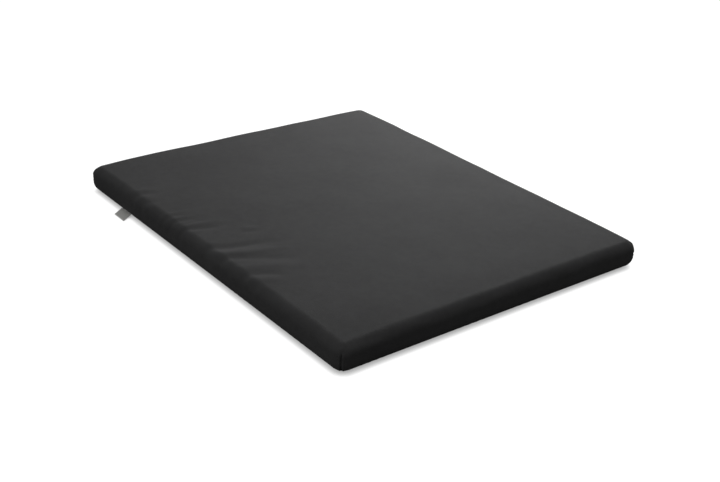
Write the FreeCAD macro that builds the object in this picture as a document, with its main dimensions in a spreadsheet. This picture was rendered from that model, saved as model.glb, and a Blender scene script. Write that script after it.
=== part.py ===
"""Futon mattress: foam and cotton felt filling, sewn casing, and a cover with a coil zip.

X runs along the length, Y across the width and Z up. The origin is the middle of the underside.
The zip is in the +Y side, and the label is sewn into the seam of the -Y side. Sizes are in mm.
"""
import FreeCAD, Part
import os
import Sketcher

DIMENSIONS = {
    "finished_length": 1200,
    "finished_width": 1000,
    "corner_radius": 34,
    "top_edge_radius": 28,
    "base_edge_radius": 32,
    "seam_height": 6,
    "dart_height": 58,
    "dart_gap": 0.6,
    "cover_thick": 1.0,
    "casing_thick": 0.6,
    "layer_gap": 0.3,
    "felt_thick": 12.5,
    "core_height": 50,
    "rear_ease": 2.6,
    "thread_height": 0.5,
    "stitch_proud": 0.3,
    "zip_end_margin": 60,
    "opening_height": 12,
    "opening_end": 3,
    "stitch_margin": 2.5,
    "tape_thick": 0.6,
    "tape_reach": 16,
    "tape_parting": 1.3,
    "tape_gap": 0.1,
    "tape_tail": 14,
    "coil_reach": 3,
    "coil_thick": 2.2,
    "stop_length": 4,
    "stop_reach": 3.6,
    "stop_gap": 0.5,
    "stop_wrap": 0.5,
    "slider_length": 12,
    "slider_gap": 0.4,
    "wing_thick": 1.1,
    "flange_thick": 1.0,
    "slider_flare": 0.8,
    "slider_rounding": 1.4,
    "neck_length": 3,
    "neck_width": 1.8,
    "neck_setback": 0.5,
    "bail_length": 7.4,
    "bail_thick": 1.0,
    "bail_width": 1.6,
    "bail_clear": 2.4,
    "bail_rounding": 0.9,
    "puller_length": 24,
    "puller_width": 7,
    "puller_tip_width": 5,
    "puller_thick": 1.2,
    "puller_rounding": 1.5,
    "window_length": 5.5,
    "window_width": 3.6,
    "pull_hole": 2.6,
    "pull_hole_setback": 4,
    "label_width": 52,
    "label_length": 33,
    "label_shear": 18,
    "label_place": 400,
    "label_ply": 0.35,
    "label_loop_gap": 0.2,
    "label_clearance": 0.3,
    "floor_clearance": 0.3,
}

HALF_LENGTH = "dims.finished_length / 2"
HALF_WIDTH = "dims.finished_width / 2"
HEIGHT = ("(2 * dims.cover_thick + 2 * dims.casing_thick + 6 * dims.layer_gap"
          " + 2 * dims.felt_thick + dims.core_height)")
BASE_ROUNDING = "min(dims.base_edge_radius; dims.corner_radius - 1)"
TOP_ROUNDING = "min(dims.top_edge_radius; dims.corner_radius - 1)"

CASING_INSET = "dims.cover_thick + dims.layer_gap"
FILLING_INSET = f"{CASING_INSET} + dims.casing_thick + dims.layer_gap"
TAPE_INSET = "dims.cover_thick + dims.tape_gap"

ZIP_LEVEL = f"(({BASE_ROUNDING}) + {HEIGHT} - ({TOP_ROUNDING})) / 2"
ZIP_HALF = f"({HALF_LENGTH} - dims.zip_end_margin)"
OPENING_HALF = f"({ZIP_HALF} + dims.stop_length + dims.opening_end)"
TAPE_FACE = f"({HALF_WIDTH} - ({TAPE_INSET}))"
SLIDER_PLACE = f"({ZIP_HALF} - dims.stop_gap - dims.slider_length / 2)"
CHANNEL_HALF = "(dims.coil_reach + 0.3)"
WING_UNDERSIDE = "(dims.coil_thick + dims.slider_gap)"
WING_FACE = "(dims.coil_thick + dims.slider_gap + dims.wing_thick)"
INNER_WING_FACE = "(dims.tape_thick + dims.slider_gap)"

LABEL_THICK = "(2 * dims.label_ply + dims.label_loop_gap)"
LABEL_REACH = f"(({BASE_ROUNDING}) + dims.label_clearance + {LABEL_THICK} / 2)"
SEAM_RISE = f"((({BASE_ROUNDING}) - dims.seam_height) / ({BASE_ROUNDING}))"
LABEL_LEVEL = f"(({BASE_ROUNDING}) - {LABEL_REACH} * {SEAM_RISE})"
LABEL_SETBACK = f"(({BASE_ROUNDING}) - {LABEL_REACH} * sqrt(1 - {SEAM_RISE} ^ 2))"
LABEL_DROP = f"asin(({LABEL_LEVEL} - {LABEL_THICK} / 2 - dims.floor_clearance) / dims.label_length)"

CORNERS = {
    "front_left": (-1, -1, -135),
    "front_right": (1, -1, -45),
    "rear_right": (1, 1, 45),
    "rear_left": (-1, 1, 135),
}
TOLERANCE = 1e-4

doc = FreeCAD.newDocument("futon_mattress")
sheet = doc.addObject("Spreadsheet::Sheet", "dims")
for row, (alias, size) in enumerate(DIMENSIONS.items(), 1):
    sheet.set(f"A{row}", alias)
    sheet.set(f"B{row}", str(size))
    sheet.setAlias(f"B{row}", alias)
doc.recompute()


def size_of(expression):
    """Number in millimetres that an expression over the sheet stands for."""
    value = sheet.evalExpression(expression.replace("dims.", ""))
    return getattr(value, "Value", value)


def bind(target, **expressions):
    """Bind properties of an object to expressions; a double underscore stands for a dot."""
    for path, expression in expressions.items():
        target.setExpression(path.replace("__", "."), expression)


# ---------------------------------------------------------------- sketch and feature helpers

def sketch_on(body, name, role, offset="0"):
    """Empty sketch on one of the body's own origin planes, moved along that plane's normal."""
    sketch = body.newObject("Sketcher::SketchObject", name)
    plane = next(item for item in body.Origin.OriginFeatures if item.Role == role)
    sketch.AttachmentSupport = [(plane, "")]
    sketch.MapMode = "FlatFace"
    bind(sketch, AttachmentOffset__Base__z=offset)
    return sketch


def draw_outline(sketch, corners):
    """Closed outline of straight lines whose corners are pairs of expressions."""
    points = [FreeCAD.Vector(size_of(across), size_of(along), 0) for across, along in corners]
    lines = []
    for start, end in zip(points, points[1:] + points[:1]):
        lines.append(sketch.addGeometry(Part.LineSegment(start, end), False))
    for line, following in zip(lines, lines[1:] + lines[:1]):
        sketch.addConstraint(Sketcher.Constraint("Coincident", line, 2, following, 1))
    for line, (across, along) in zip(lines, corners):
        for kind, expression in (("DistanceX", across), ("DistanceY", along)):
            place = Sketcher.Constraint(kind, -1, 1, line, 1, size_of(expression))
            index = sketch.addConstraint(place)
            sketch.setExpression(f"Constraints[{index}]", expression)


def draw_circle(sketch, across, radius):
    """Circle on the sketch's horizontal axis."""
    centre = FreeCAD.Vector(size_of(across), 0, 0)
    circle = sketch.addGeometry(Part.Circle(centre, FreeCAD.Vector(0, 0, 1), size_of(radius)), False)
    sketch.addConstraint(Sketcher.Constraint("PointOnObject", circle, 3, -1))
    place = sketch.addConstraint(Sketcher.Constraint("DistanceX", -1, 1, circle, 3, centre.x))
    sketch.setExpression(f"Constraints[{place}]", across)
    size = sketch.addConstraint(Sketcher.Constraint("Radius", circle, size_of(radius)))
    sketch.setExpression(f"Constraints[{size}]", radius)


def pad(body, name, sketch, length, midplane=False, reverse=False):
    """Pad a sketch by an expression, to one side or evenly to both."""
    feature = body.newObject("PartDesign::Pad", name)
    feature.Profile = sketch
    feature.Midplane = midplane
    feature.Reversed = reverse
    bind(feature, Length=length)
    doc.recompute()
    return feature


def pocket(body, name, sketch, length, midplane=False, reverse=False):
    """Pocket a sketch by an expression, and make sure that it took material away."""
    before = body.Shape.Volume
    feature = body.newObject("PartDesign::Pocket", name)
    feature.Profile = sketch
    feature.Midplane = midplane
    feature.Reversed = reverse
    bind(feature, Length=length)
    doc.recompute()
    if body.Shape.Volume > before - TOLERANCE:
        raise RuntimeError(f"{name} cuts nothing")
    return feature


def edges_at_level(level):
    """Test for edges that lie in one level plane."""
    return lambda edge: all(abs(vertex.Z - level) < TOLERANCE for vertex in edge.Vertexes)


def runs_along(edge, axis):
    """Whether a straight edge runs along an axis, given as x, y or z."""
    return edge.Curve.TypeId == "Part::GeomLine" and abs(getattr(edge.Curve.Direction, axis)) > 1 - TOLERANCE


def is_upright(edge):
    """Whether a straight edge runs along Z."""
    return runs_along(edge, "z")


def fillet(body, name, test, radius):
    """Fillet the body's edges that pass a test."""
    base = body.Tip
    chosen = [f"Edge{index}" for index, edge in enumerate(base.Shape.Edges, 1) if test(edge)]
    feature = body.newObject("PartDesign::Fillet", name)
    feature.Base = (base, chosen)
    bind(feature, Radius=radius)
    doc.recompute()
    return feature


def new_body(name):
    """Empty body with its own label."""
    body = doc.addObject("PartDesign::Body", name)
    body.Label = name
    return body


def rounded_block(name, inset, rear_inset=None):
    """Block with the mattress's rounded shape, a distance inside its finished surface."""
    rear = f"{HALF_WIDTH} - ({rear_inset or inset})"
    side = f"{HALF_LENGTH} - ({inset})"
    front = f"-({HALF_WIDTH} - ({inset}))"
    body = new_body(name)
    sketch = sketch_on(body, f"{name}_plan", "XY_Plane", inset)
    draw_outline(sketch, [(f"-({side})", front), (side, front), (side, rear), (f"-({side})", rear)])
    pad(body, f"{name}_height", sketch, f"{HEIGHT} - 2 * ({inset})")
    fillet(body, f"{name}_corners", is_upright, f"dims.corner_radius - ({inset})")
    top = edges_at_level(size_of(f"{HEIGHT} - ({inset})"))
    fillet(body, f"{name}_top_edge", top, f"{TOP_ROUNDING} - ({inset})")
    base = edges_at_level(size_of(inset))
    fillet(body, f"{name}_base_edge", base, f"{BASE_ROUNDING} - ({inset})")
    return body


def box(name, lowest, highest):
    """Box between two corners, each given as three expressions."""
    solid = doc.addObject("Part::Box", name)
    for size, axis, low, high in zip(("Length", "Width", "Height"), "xyz", lowest, highest):
        solid.setExpression(size, f"({high}) - ({low})")
        solid.setExpression(f"Placement.Base.{axis}", low)
    return solid


def slab(name, bottom, top):
    """Slab wider than the mattress, between two levels."""
    edge_x = f"({HALF_LENGTH} + dims.corner_radius)"
    edge_y = f"({HALF_WIDTH} + dims.corner_radius)"
    return box(name, (f"-{edge_x}", f"-{edge_y}", bottom), (edge_x, edge_y, top))


def boolean(kind, name, base, tool):
    """Part boolean of two objects: Cut, Common or Fuse."""
    result = doc.addObject(f"Part::{kind}", name)
    result.Base = base
    result.Tool = tool
    return result


def fused(name, pieces):
    """Several objects as one."""
    result = doc.addObject("Part::MultiFuse", name)
    result.Shapes = pieces
    return result


# ---------------------------------------------------------------- filling

def make_filling():
    """Foam core between two layers of cotton felt."""
    block = rounded_block("filling_block", FILLING_INSET, f"{FILLING_INSET} + dims.rear_ease")
    lower = (FILLING_INSET, f"{FILLING_INSET} + dims.felt_thick")
    core = (f"{lower[1]} + dims.layer_gap", f"{lower[1]} + dims.layer_gap + dims.core_height")
    upper = (f"{core[1]} + dims.layer_gap", HEIGHT)
    layers = {"cotton_felt_lower": lower, "foam_core": core, "cotton_felt_upper": upper}
    return [
        boolean("Common", name, block, slab(f"{name}_slab", bottom, top))
        for name, (bottom, top) in layers.items()
    ]


# ---------------------------------------------------------------- casing

def make_casing():
    """Casing of two halves, sewn together half-way up."""
    outer = rounded_block("casing_block", CASING_INSET, f"{CASING_INSET} + dims.rear_ease")
    middle_inset = f"{CASING_INSET} + dims.casing_thick / 2"
    middle = rounded_block("casing_middle", middle_inset, f"{middle_inset} + dims.rear_ease")
    inner_inset = f"{CASING_INSET} + dims.casing_thick"
    inner = rounded_block("casing_lining", inner_inset, f"{inner_inset} + dims.rear_ease")
    shell = boolean("Cut", "casing_shell", outer, inner)
    seam = f"{HEIGHT} / 2"
    ring = boolean("Cut", "casing_seam_ring", outer, middle)
    course = slab("casing_seam_course", f"{seam} - dims.thread_height / 2",
                  f"{seam} + dims.thread_height / 2")
    thread = boolean("Common", "casing_seam_thread", ring, course)
    walls = boolean("Cut", "casing_walls", shell, thread)
    lower = boolean("Common", "casing_lower", walls, slab("casing_lower_slab", "0", seam))
    upper = boolean("Common", "casing_upper", walls, slab("casing_upper_slab", seam, HEIGHT))
    return [lower, upper, thread]


# ---------------------------------------------------------------- cover

def make_darts():
    """Thin upright slits on the diagonal of each corner, from the seam to the dart's point."""
    darts = {}
    bottom = "dims.seam_height + dims.thread_height / 2"
    for corner, (side_x, side_y, bearing) in CORNERS.items():
        dart = doc.addObject("Part::Box", f"dart_{corner}")
        turn = FreeCAD.Rotation(FreeCAD.Vector(0, 0, 1), bearing)
        dart.Placement = FreeCAD.Placement(FreeCAD.Vector(), turn)
        bind(
            dart,
            Length="2 * dims.corner_radius",
            Width="dims.dart_gap",
            Height=f"dims.dart_height - ({bottom})",
            Placement__Base__x=f"{side_x} * ({HALF_LENGTH} - dims.corner_radius)"
                               f" + dims.dart_gap / 2 * sin({bearing} deg)",
            Placement__Base__y=f"{side_y} * ({HALF_WIDTH} - dims.corner_radius)"
                               f" - dims.dart_gap / 2 * cos({bearing} deg)",
            Placement__Base__z=bottom,
        )
        darts[corner] = dart
    return darts


def rear_zone(name, bottom, top):
    """Space behind the diagonals of the two rear corners, between two levels."""
    body = new_body(name)
    sketch = sketch_on(body, f"{name}_plan", "XY_Plane", bottom)
    out_x = f"({HALF_LENGTH} + dims.corner_radius)"
    out_y = f"({HALF_WIDTH} + dims.corner_radius)"
    in_x = f"({HALF_LENGTH} - 2 * dims.corner_radius)"
    in_y = f"({HALF_WIDTH} - 2 * dims.corner_radius)"
    draw_outline(sketch, [(f"-{in_x}", in_y), (in_x, in_y), (out_x, out_y), (f"-{out_x}", out_y)])
    pad(body, f"{name}_height", sketch, f"{top} - {bottom}")
    return body


def make_cover():
    """Cover of three panels: the top with its sides, the rear strip below the zip, and the base."""
    outer = rounded_block("finished_block", "0")
    middle = rounded_block("cover_middle", "dims.cover_thick / 2")
    inner = rounded_block("cover_lining", "dims.cover_thick")
    shell = boolean("Cut", "cover_shell", outer, inner)
    inner_half = boolean("Cut", "cover_inner_half", middle, inner)

    base_course = slab("base_seam_course", "dims.seam_height - dims.thread_height / 2",
                       "dims.seam_height + dims.thread_height / 2")
    base_thread = boolean("Common", "base_seam_thread", inner_half, base_course)
    darts = make_darts()
    dart_threads = [
        boolean("Common", f"corner_seam_thread_{corner}", inner_half, dart)
        for corner, dart in darts.items()
    ]
    opening = box(
        "zip_opening",
        (f"-{OPENING_HALF}", f"{HALF_WIDTH} - dims.corner_radius",
         f"{ZIP_LEVEL} - dims.opening_height / 2"),
        (OPENING_HALF, f"{HALF_WIDTH} + dims.corner_radius",
         f"{ZIP_LEVEL} + dims.opening_height / 2"),
    )
    slits = fused("cover_slits", [*darts.values(), opening])
    rear_course = rear_zone("rear_seam_course", f"({ZIP_LEVEL} - dims.thread_height / 2)",
                            f"({ZIP_LEVEL} + dims.thread_height / 2)")
    rear_ring = boolean("Common", "rear_seam_ring", inner_half, rear_course)
    rear_thread = boolean("Cut", "rear_seam_thread", rear_ring, slits)
    threads = fused("cover_threads", [base_thread, rear_thread])
    panels = boolean("Cut", "cover_panels", boolean("Cut", "cover_slit_shell", shell, slits), threads)
    base = boolean("Common", "cover_base", panels, slab("base_slab", "0", "dims.seam_height"))
    sides = boolean("Common", "cover_sides", panels, slab("sides_slab", "dims.seam_height", HEIGHT))
    below_zip = rear_zone("below_zip", "dims.seam_height", ZIP_LEVEL)
    rear_strip = boolean("Common", "cover_rear_strip", sides, below_zip)
    top = boolean("Cut", "cover_top", sides, below_zip)
    return [base, top, rear_strip, base_thread, rear_thread, *dart_threads], outer


# ---------------------------------------------------------------- zip on the cover

def across_zip(side, near, far):
    """Lower and upper level of something between two distances to one side of the zip's middle."""
    if side > 0:
        return f"{ZIP_LEVEL} + ({near})", f"{ZIP_LEVEL} + ({far})"
    return f"{ZIP_LEVEL} - ({far})", f"{ZIP_LEVEL} - ({near})"


def rear_band(name, end, side, near, far):
    """Box over the rear wall, between two distances from the zip's middle."""
    low, high = across_zip(side, near, far)
    return box(name, (f"-{end}", "0", low), (end, f"{HALF_WIDTH} + dims.corner_radius", high))


def make_tapes():
    """Two woven tapes that follow the inside of the rear wall."""
    outer = rounded_block("tape_face", TAPE_INSET)
    inner = rounded_block("tape_back", f"{TAPE_INSET} + dims.tape_thick")
    layer = boolean("Cut", "tape_layer", outer, inner)
    end = f"({ZIP_HALF} + dims.tape_tail)"
    tapes = {}
    for name, side in (("upper", 1), ("lower", -1)):
        band = rear_band(f"tape_band_{name}", end, side, "dims.tape_parting", "dims.tape_reach")
        tapes[name] = boolean("Common", f"zip_tape_{name}", layer, band)
    return tapes


def make_stitching(outer):
    """One row of top stitching along each edge of the zip's opening."""
    proud = rounded_block("stitch_face", "-dims.stitch_proud")
    layer = boolean("Cut", "stitch_layer", proud, outer)
    near = "dims.opening_height / 2 + dims.stitch_margin"
    far = f"{near} + dims.thread_height"
    rows = []
    for name, side in (("upper", 1), ("lower", -1)):
        band = rear_band(f"stitch_band_{name}", OPENING_HALF, side, f"({near})", f"({far})")
        rows.append(boolean("Common", f"zip_stitching_{name}", layer, band))
    return rows


def make_coils():
    """Two coil rows that meet in the middle and part round the neck of the slider."""
    front = f"{TAPE_FACE} + dims.coil_thick"
    neck_start = f"{SLIDER_PLACE} + dims.slider_length / 2 - dims.neck_setback - dims.neck_length"
    mouth = box(
        "coil_parting",
        (f"{neck_start} - dims.slider_gap", "0", f"{ZIP_LEVEL} - dims.tape_parting"),
        (HALF_LENGTH, f"{HALF_WIDTH} + dims.corner_radius", f"{ZIP_LEVEL} + dims.tape_parting"),
    )
    coils = []
    for name, side in (("upper", 1), ("lower", -1)):
        low, high = across_zip(side, "0", "dims.coil_reach")
        bar = box(f"coil_bar_{name}", (f"-{ZIP_HALF}", TAPE_FACE, low), (ZIP_HALF, front, high))
        coils.append(boolean("Cut", f"zip_coil_{name}", bar, mouth))
    return coils


def make_stops(tapes):
    """Stops clamped round the tapes: one on each tape at the top, one across both at the bottom."""
    back = f"{TAPE_FACE} - dims.tape_thick - dims.stop_wrap"
    front = f"{TAPE_FACE} + dims.coil_thick"
    both_tapes = fused("tape_pair", list(tapes.values()))
    blanks = []
    for name, side in (("upper", 1), ("lower", -1)):
        low, high = across_zip(side, "dims.tape_parting - dims.stop_wrap", "dims.stop_reach")
        blanks.append(box(f"top_stop_{name}", (ZIP_HALF, back, f"{low}"),
                          (f"{ZIP_HALF} + dims.stop_length", front, f"{high}")))
    top = boolean("Cut", "zip_top_stops", fused("top_stop_blanks", blanks), both_tapes)
    bottom_blank = box(
        "bottom_stop_blank",
        (f"-({ZIP_HALF} + dims.stop_length)", back, f"{ZIP_LEVEL} - dims.stop_reach"),
        (f"-{ZIP_HALF}", front, f"{ZIP_LEVEL} + dims.stop_reach"),
    )
    return [top, boolean("Cut", "zip_bottom_stop", bottom_blank, both_tapes)]


# ---------------------------------------------------------------- slider and puller

def place_on_zip(body, out_of_tape):
    """Stand a body on the zip: its own Z points out of the tape, and its X runs along it."""
    turn = FreeCAD.Rotation(FreeCAD.Vector(1, 0, 0), -90)
    body.Placement = FreeCAD.Placement(FreeCAD.Vector(), turn)
    bind(body, Placement__Base__x=SLIDER_PLACE, Placement__Base__y=f"{TAPE_FACE} + {out_of_tape}",
         Placement__Base__z=ZIP_LEVEL)


def shield(edge):
    """Outline of the slider, a distance inside its edge: wider at the mouth than at the tail."""
    tail = f"({CHANNEL_HALF} + dims.flange_thick - {edge})"
    mouth = f"({CHANNEL_HALF} + dims.flange_thick + dims.slider_flare - {edge})"
    end = "dims.slider_length / 2"
    return [(f"-{end}", f"-{tail}"), (end, f"-{mouth}"), (end, mouth), (f"-{end}", tail)]


def make_slider():
    """Slider: two wings joined by a neck, flanges over the coils, and a bail for the puller."""
    body = new_body("zip_slider_body")
    outline = sketch_on(body, "slider_outline", "XY_Plane", "dims.slider_gap")
    draw_outline(outline, shield("0"))
    pad(body, "slider_outer_wing", outline, f"{WING_FACE} - dims.slider_gap")
    fillet(body, "slider_wing_corners", is_upright, "dims.slider_rounding")
    fillet(body, "slider_wing_edge", edges_at_level(size_of(WING_FACE)), "dims.wing_thick / 2")

    channel = sketch_on(body, "slider_channel_outline", "XY_Plane", "dims.slider_gap")
    draw_outline(channel, shield("dims.flange_thick"))
    pocket(body, "slider_channel", channel, f"{WING_UNDERSIDE} - dims.slider_gap", reverse=True)

    neck_front = "(dims.slider_length / 2 - dims.neck_setback)"
    neck_back = f"({neck_front} - dims.neck_length)"
    half_neck = "dims.neck_width / 2"
    neck = sketch_on(body, "slider_neck_outline", "XY_Plane", f"-{INNER_WING_FACE}")
    draw_outline(neck, [(neck_back, f"-{half_neck}"), (neck_front, f"-{half_neck}"),
                        (neck_front, half_neck), (neck_back, half_neck)])
    pad(body, "slider_neck", neck, f"{INNER_WING_FACE} + {WING_UNDERSIDE}")

    inner = sketch_on(body, "slider_inner_outline", "XY_Plane", f"-{INNER_WING_FACE}")
    draw_outline(inner, shield("0"))
    pad(body, "slider_inner_wing", inner, "dims.wing_thick", reverse=True)

    half_bail = "(dims.bail_length / 2)"
    half_gap = "(dims.bail_length / 2 - dims.bail_thick)"
    foot = f"({WING_FACE} - dims.wing_thick / 2)"
    eye = f"({WING_FACE} + dims.bail_clear)"
    crown = f"({eye} + dims.bail_thick)"
    bail = sketch_on(body, "slider_bail_outline", "XZ_Plane")
    draw_outline(bail, [
        (f"-{half_bail}", foot), (f"-{half_bail}", crown), (half_bail, crown), (half_bail, foot),
        (half_gap, foot), (half_gap, eye), (f"-{half_gap}", eye), (f"-{half_gap}", foot),
    ])
    pad(body, "slider_bail", bail, "dims.bail_width", midplane=True)
    on_crown = edges_at_level(size_of(crown))
    fillet(body, "slider_bail_bend", lambda edge: on_crown(edge) and runs_along(edge, "y"),
           "dims.bail_rounding")
    place_on_zip(body, "0")
    return body


def make_puller():
    """Puller: a flat tab with a window for the bail, a round bar under it and a hole in its tip."""
    body = new_body("zip_puller")
    half = "(dims.puller_width / 2)"
    half_tip = "(dims.puller_tip_width / 2)"
    window_end = "(-dims.window_length)"
    half_window = "(dims.window_width / 2)"
    tip = "(-dims.puller_length)"
    bar = "(dims.puller_thick / 2)"

    outline = sketch_on(body, "puller_outline", "XY_Plane")
    draw_outline(outline, [(tip, f"-{half_tip}"), (f"-{bar} / 2", f"-{half}"),
                           (f"-{bar} / 2", half), (tip, half_tip)])
    pad(body, "puller_tab", outline, "dims.puller_thick", midplane=True)
    fillet(body, "puller_tip_corners",
           lambda edge: is_upright(edge) and edge.Vertexes[0].X < size_of(window_end),
           "dims.puller_rounding")
    window = sketch_on(body, "puller_window_outline", "XY_Plane")
    draw_outline(window, [(window_end, f"-{half_window}"), (bar, f"-{half_window}"),
                          (bar, half_window), (window_end, half_window)])
    pocket(body, "puller_window", window, "2 * dims.puller_thick", midplane=True)
    hole = sketch_on(body, "puller_hole_outline", "XY_Plane")
    draw_circle(hole, f"{tip} + dims.pull_hole_setback", "dims.pull_hole / 2")
    pocket(body, "puller_hole", hole, "2 * dims.puller_thick", midplane=True)
    pin = sketch_on(body, "puller_bar_outline", "XZ_Plane")
    draw_circle(pin, "0", bar)
    pad(body, "puller_bar", pin, "dims.puller_width", midplane=True)
    place_on_zip(body, f"{WING_FACE} + dims.bail_clear / 2")
    return body


# ---------------------------------------------------------------- label

def make_label():
    """Woven loop label: two plies folded at the tip, hanging from the base seam to the floor."""
    body = new_body("label")
    half = "(dims.label_width / 2)"
    outline = sketch_on(body, "label_outline", "XY_Plane")
    draw_outline(outline, [
        (f"-{half}", "0"), (half, "0"),
        (f"{half} + dims.label_shear", "-dims.label_length"),
        (f"-{half} + dims.label_shear", "-dims.label_length"),
    ])
    pad(body, "label_plies", outline, LABEL_THICK, midplane=True)
    loop = sketch_on(body, "label_loop_outline", "YZ_Plane")
    inside = "(dims.label_length - dims.label_ply)"
    half_gap = "(dims.label_loop_gap / 2)"
    draw_outline(loop, [(f"-{inside}", f"-{half_gap}"), ("dims.label_ply", f"-{half_gap}"),
                        ("dims.label_ply", half_gap), (f"-{inside}", half_gap)])
    pocket(body, "label_loop", loop, "4 * dims.label_width", midplane=True)
    turn = FreeCAD.Rotation(FreeCAD.Vector(1, 0, 0), size_of(LABEL_DROP))
    body.Placement = FreeCAD.Placement(FreeCAD.Vector(), turn)
    bind(body, Placement__Base__x="-dims.label_place",
         Placement__Base__y=f"-({HALF_WIDTH} - {LABEL_SETBACK})",
         Placement__Base__z=LABEL_LEVEL,
         Placement__Rotation__Angle=LABEL_DROP)
    return body


# ---------------------------------------------------------------- assembly and files

def check_document():
    """Stop if any object failed to recompute."""
    for item in doc.Objects:
        if "Invalid" in item.State or "Error" in item.State:
            raise RuntimeError(f"{item.Label} did not recompute: {item.State}")


def write_parts(pieces):
    """Write each piece to parts/, after a look at its shape."""
    for piece in pieces:
        shape = piece.Shape
        if shape.isNull() or not shape.isValid() or not shape.Solids:
            raise RuntimeError(f"{piece.Label} has no valid solid")
    os.makedirs("parts", exist_ok=True)
    for piece in pieces:
        piece.Shape.exportStep(f"parts/{piece.Label}.step")
        box_of = piece.Shape.BoundBox
        print(f"{piece.Label}: {len(piece.Shape.Solids)} solid(s), {piece.Shape.Volume:.1f} mm3, "
              f"x {box_of.XMin:.2f}..{box_of.XMax:.2f}, y {box_of.YMin:.2f}..{box_of.YMax:.2f}, "
              f"z {box_of.ZMin:.2f}..{box_of.ZMax:.2f}")


filling = make_filling()
casing = make_casing()
cover, finished_block = make_cover()
zip_tapes = make_tapes()
zip_rows = make_stitching(finished_block) + make_coils() + make_stops(zip_tapes)
fittings = [make_slider(), make_puller(), make_label()]
doc.recompute()
check_document()
write_parts([*filling, *casing, *cover, *zip_tapes.values(), *zip_rows, *fittings])
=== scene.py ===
"""Looks of a futon mattress: foam and cotton felt in a sewn casing, inside a fitted cover with a coil zip.

X runs along the length, Y across the width and Z up, in metres. The origin is the middle of the underside.
The zip is in the +Y side, and the label is sewn into the seam of the -Y side.
"""

import logging
import math
from collections.abc import Callable, Sequence
from dataclasses import dataclass, field, replace
from enum import Enum

import bpy
import numpy as np
from mathutils import Matrix, Vector


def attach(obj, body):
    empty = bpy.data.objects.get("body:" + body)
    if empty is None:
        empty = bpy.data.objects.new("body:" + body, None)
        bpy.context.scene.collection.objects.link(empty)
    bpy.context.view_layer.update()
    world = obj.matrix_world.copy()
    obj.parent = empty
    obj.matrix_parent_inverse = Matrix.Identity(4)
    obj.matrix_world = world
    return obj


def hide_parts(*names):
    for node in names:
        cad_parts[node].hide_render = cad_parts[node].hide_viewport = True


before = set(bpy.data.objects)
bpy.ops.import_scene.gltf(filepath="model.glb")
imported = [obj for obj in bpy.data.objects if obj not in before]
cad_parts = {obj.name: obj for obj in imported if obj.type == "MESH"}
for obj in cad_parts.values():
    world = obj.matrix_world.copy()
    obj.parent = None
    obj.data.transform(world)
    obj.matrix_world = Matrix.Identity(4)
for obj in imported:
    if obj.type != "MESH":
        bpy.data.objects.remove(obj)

log = logging.getLogger("futon_mattress")

MM = 0.001
RIGHT_ANGLE = math.pi / 2
Triple = tuple[float, float, float]


# ---------------------------------------------------------------- outline of the mattress

class Band(Enum):
    """Stretch of a layer's upright section, from its top to its underside."""

    TOP_ROUNDING = "top rounding"
    WALL = "wall"
    BASE_ROUNDING = "base rounding"


@dataclass(frozen=True)
class Row:
    """One level of a layer's sides: an angle on a rounding, or a height on the wall."""

    band: Band
    place: float


@dataclass(frozen=True)
class Outline:
    """Soft slab that one layer of the mattress fills: a rectangle with rounded corners and edges."""

    half_length: float = 0.600
    half_width: float = 0.500
    low: float = 0.0
    high: float = 0.080
    corner: float = 0.034
    top_rounding: float = 0.028
    base_rounding: float = 0.032
    rear_ease: float = 0.0

    def inside(self, inset: float, rear_ease: float = 0.0) -> "Outline":
        """Outline of a layer that lies further in.

        Args:
            inset: distance inwards from this outline.
            rear_ease: extra distance at the rear side, where the zip needs room.

        Returns:
            The smaller outline, with the same corner centres.
        """
        return replace(
            self,
            half_length=self.half_length - inset,
            half_width=self.half_width - inset,
            low=self.low + inset,
            high=self.high - inset,
            corner=self.corner - inset,
            top_rounding=self.top_rounding - inset,
            base_rounding=self.base_rounding - inset,
            rear_ease=rear_ease,
        )

    def section(self, row: Row) -> tuple[float, float, float, float]:
        """Place and direction of the surface on one row.

        Args:
            row: the level looked at.

        Returns:
            Distance out from the corner centre, height, and the normal's outward and upward parts.
        """
        if row.band is Band.TOP_ROUNDING:
            out, up = math.sin(row.place), math.cos(row.place)
            flat = self.corner - self.top_rounding
            return flat + self.top_rounding * out, self.high - self.top_rounding * (1 - up), out, up
        if row.band is Band.WALL:
            return self.corner, row.place, 1.0, 0.0
        out, down = math.cos(row.place), math.sin(row.place)
        flat = self.corner - self.base_rounding
        return flat + self.base_rounding * out, self.low + self.base_rounding * (1 - down), out, -down

    def row_at(self, height: float) -> Row:
        """The row where this outline's side is at a height."""
        if height > self.high - self.top_rounding:
            rise = (height - self.high + self.top_rounding) / self.top_rounding
            return Row(Band.TOP_ROUNDING, math.acos(min(1.0, rise)))
        if height >= self.low + self.base_rounding:
            return Row(Band.WALL, height)
        drop = (self.low + self.base_rounding - height) / self.base_rounding
        return Row(Band.BASE_ROUNDING, math.asin(min(1.0, drop)))


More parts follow.
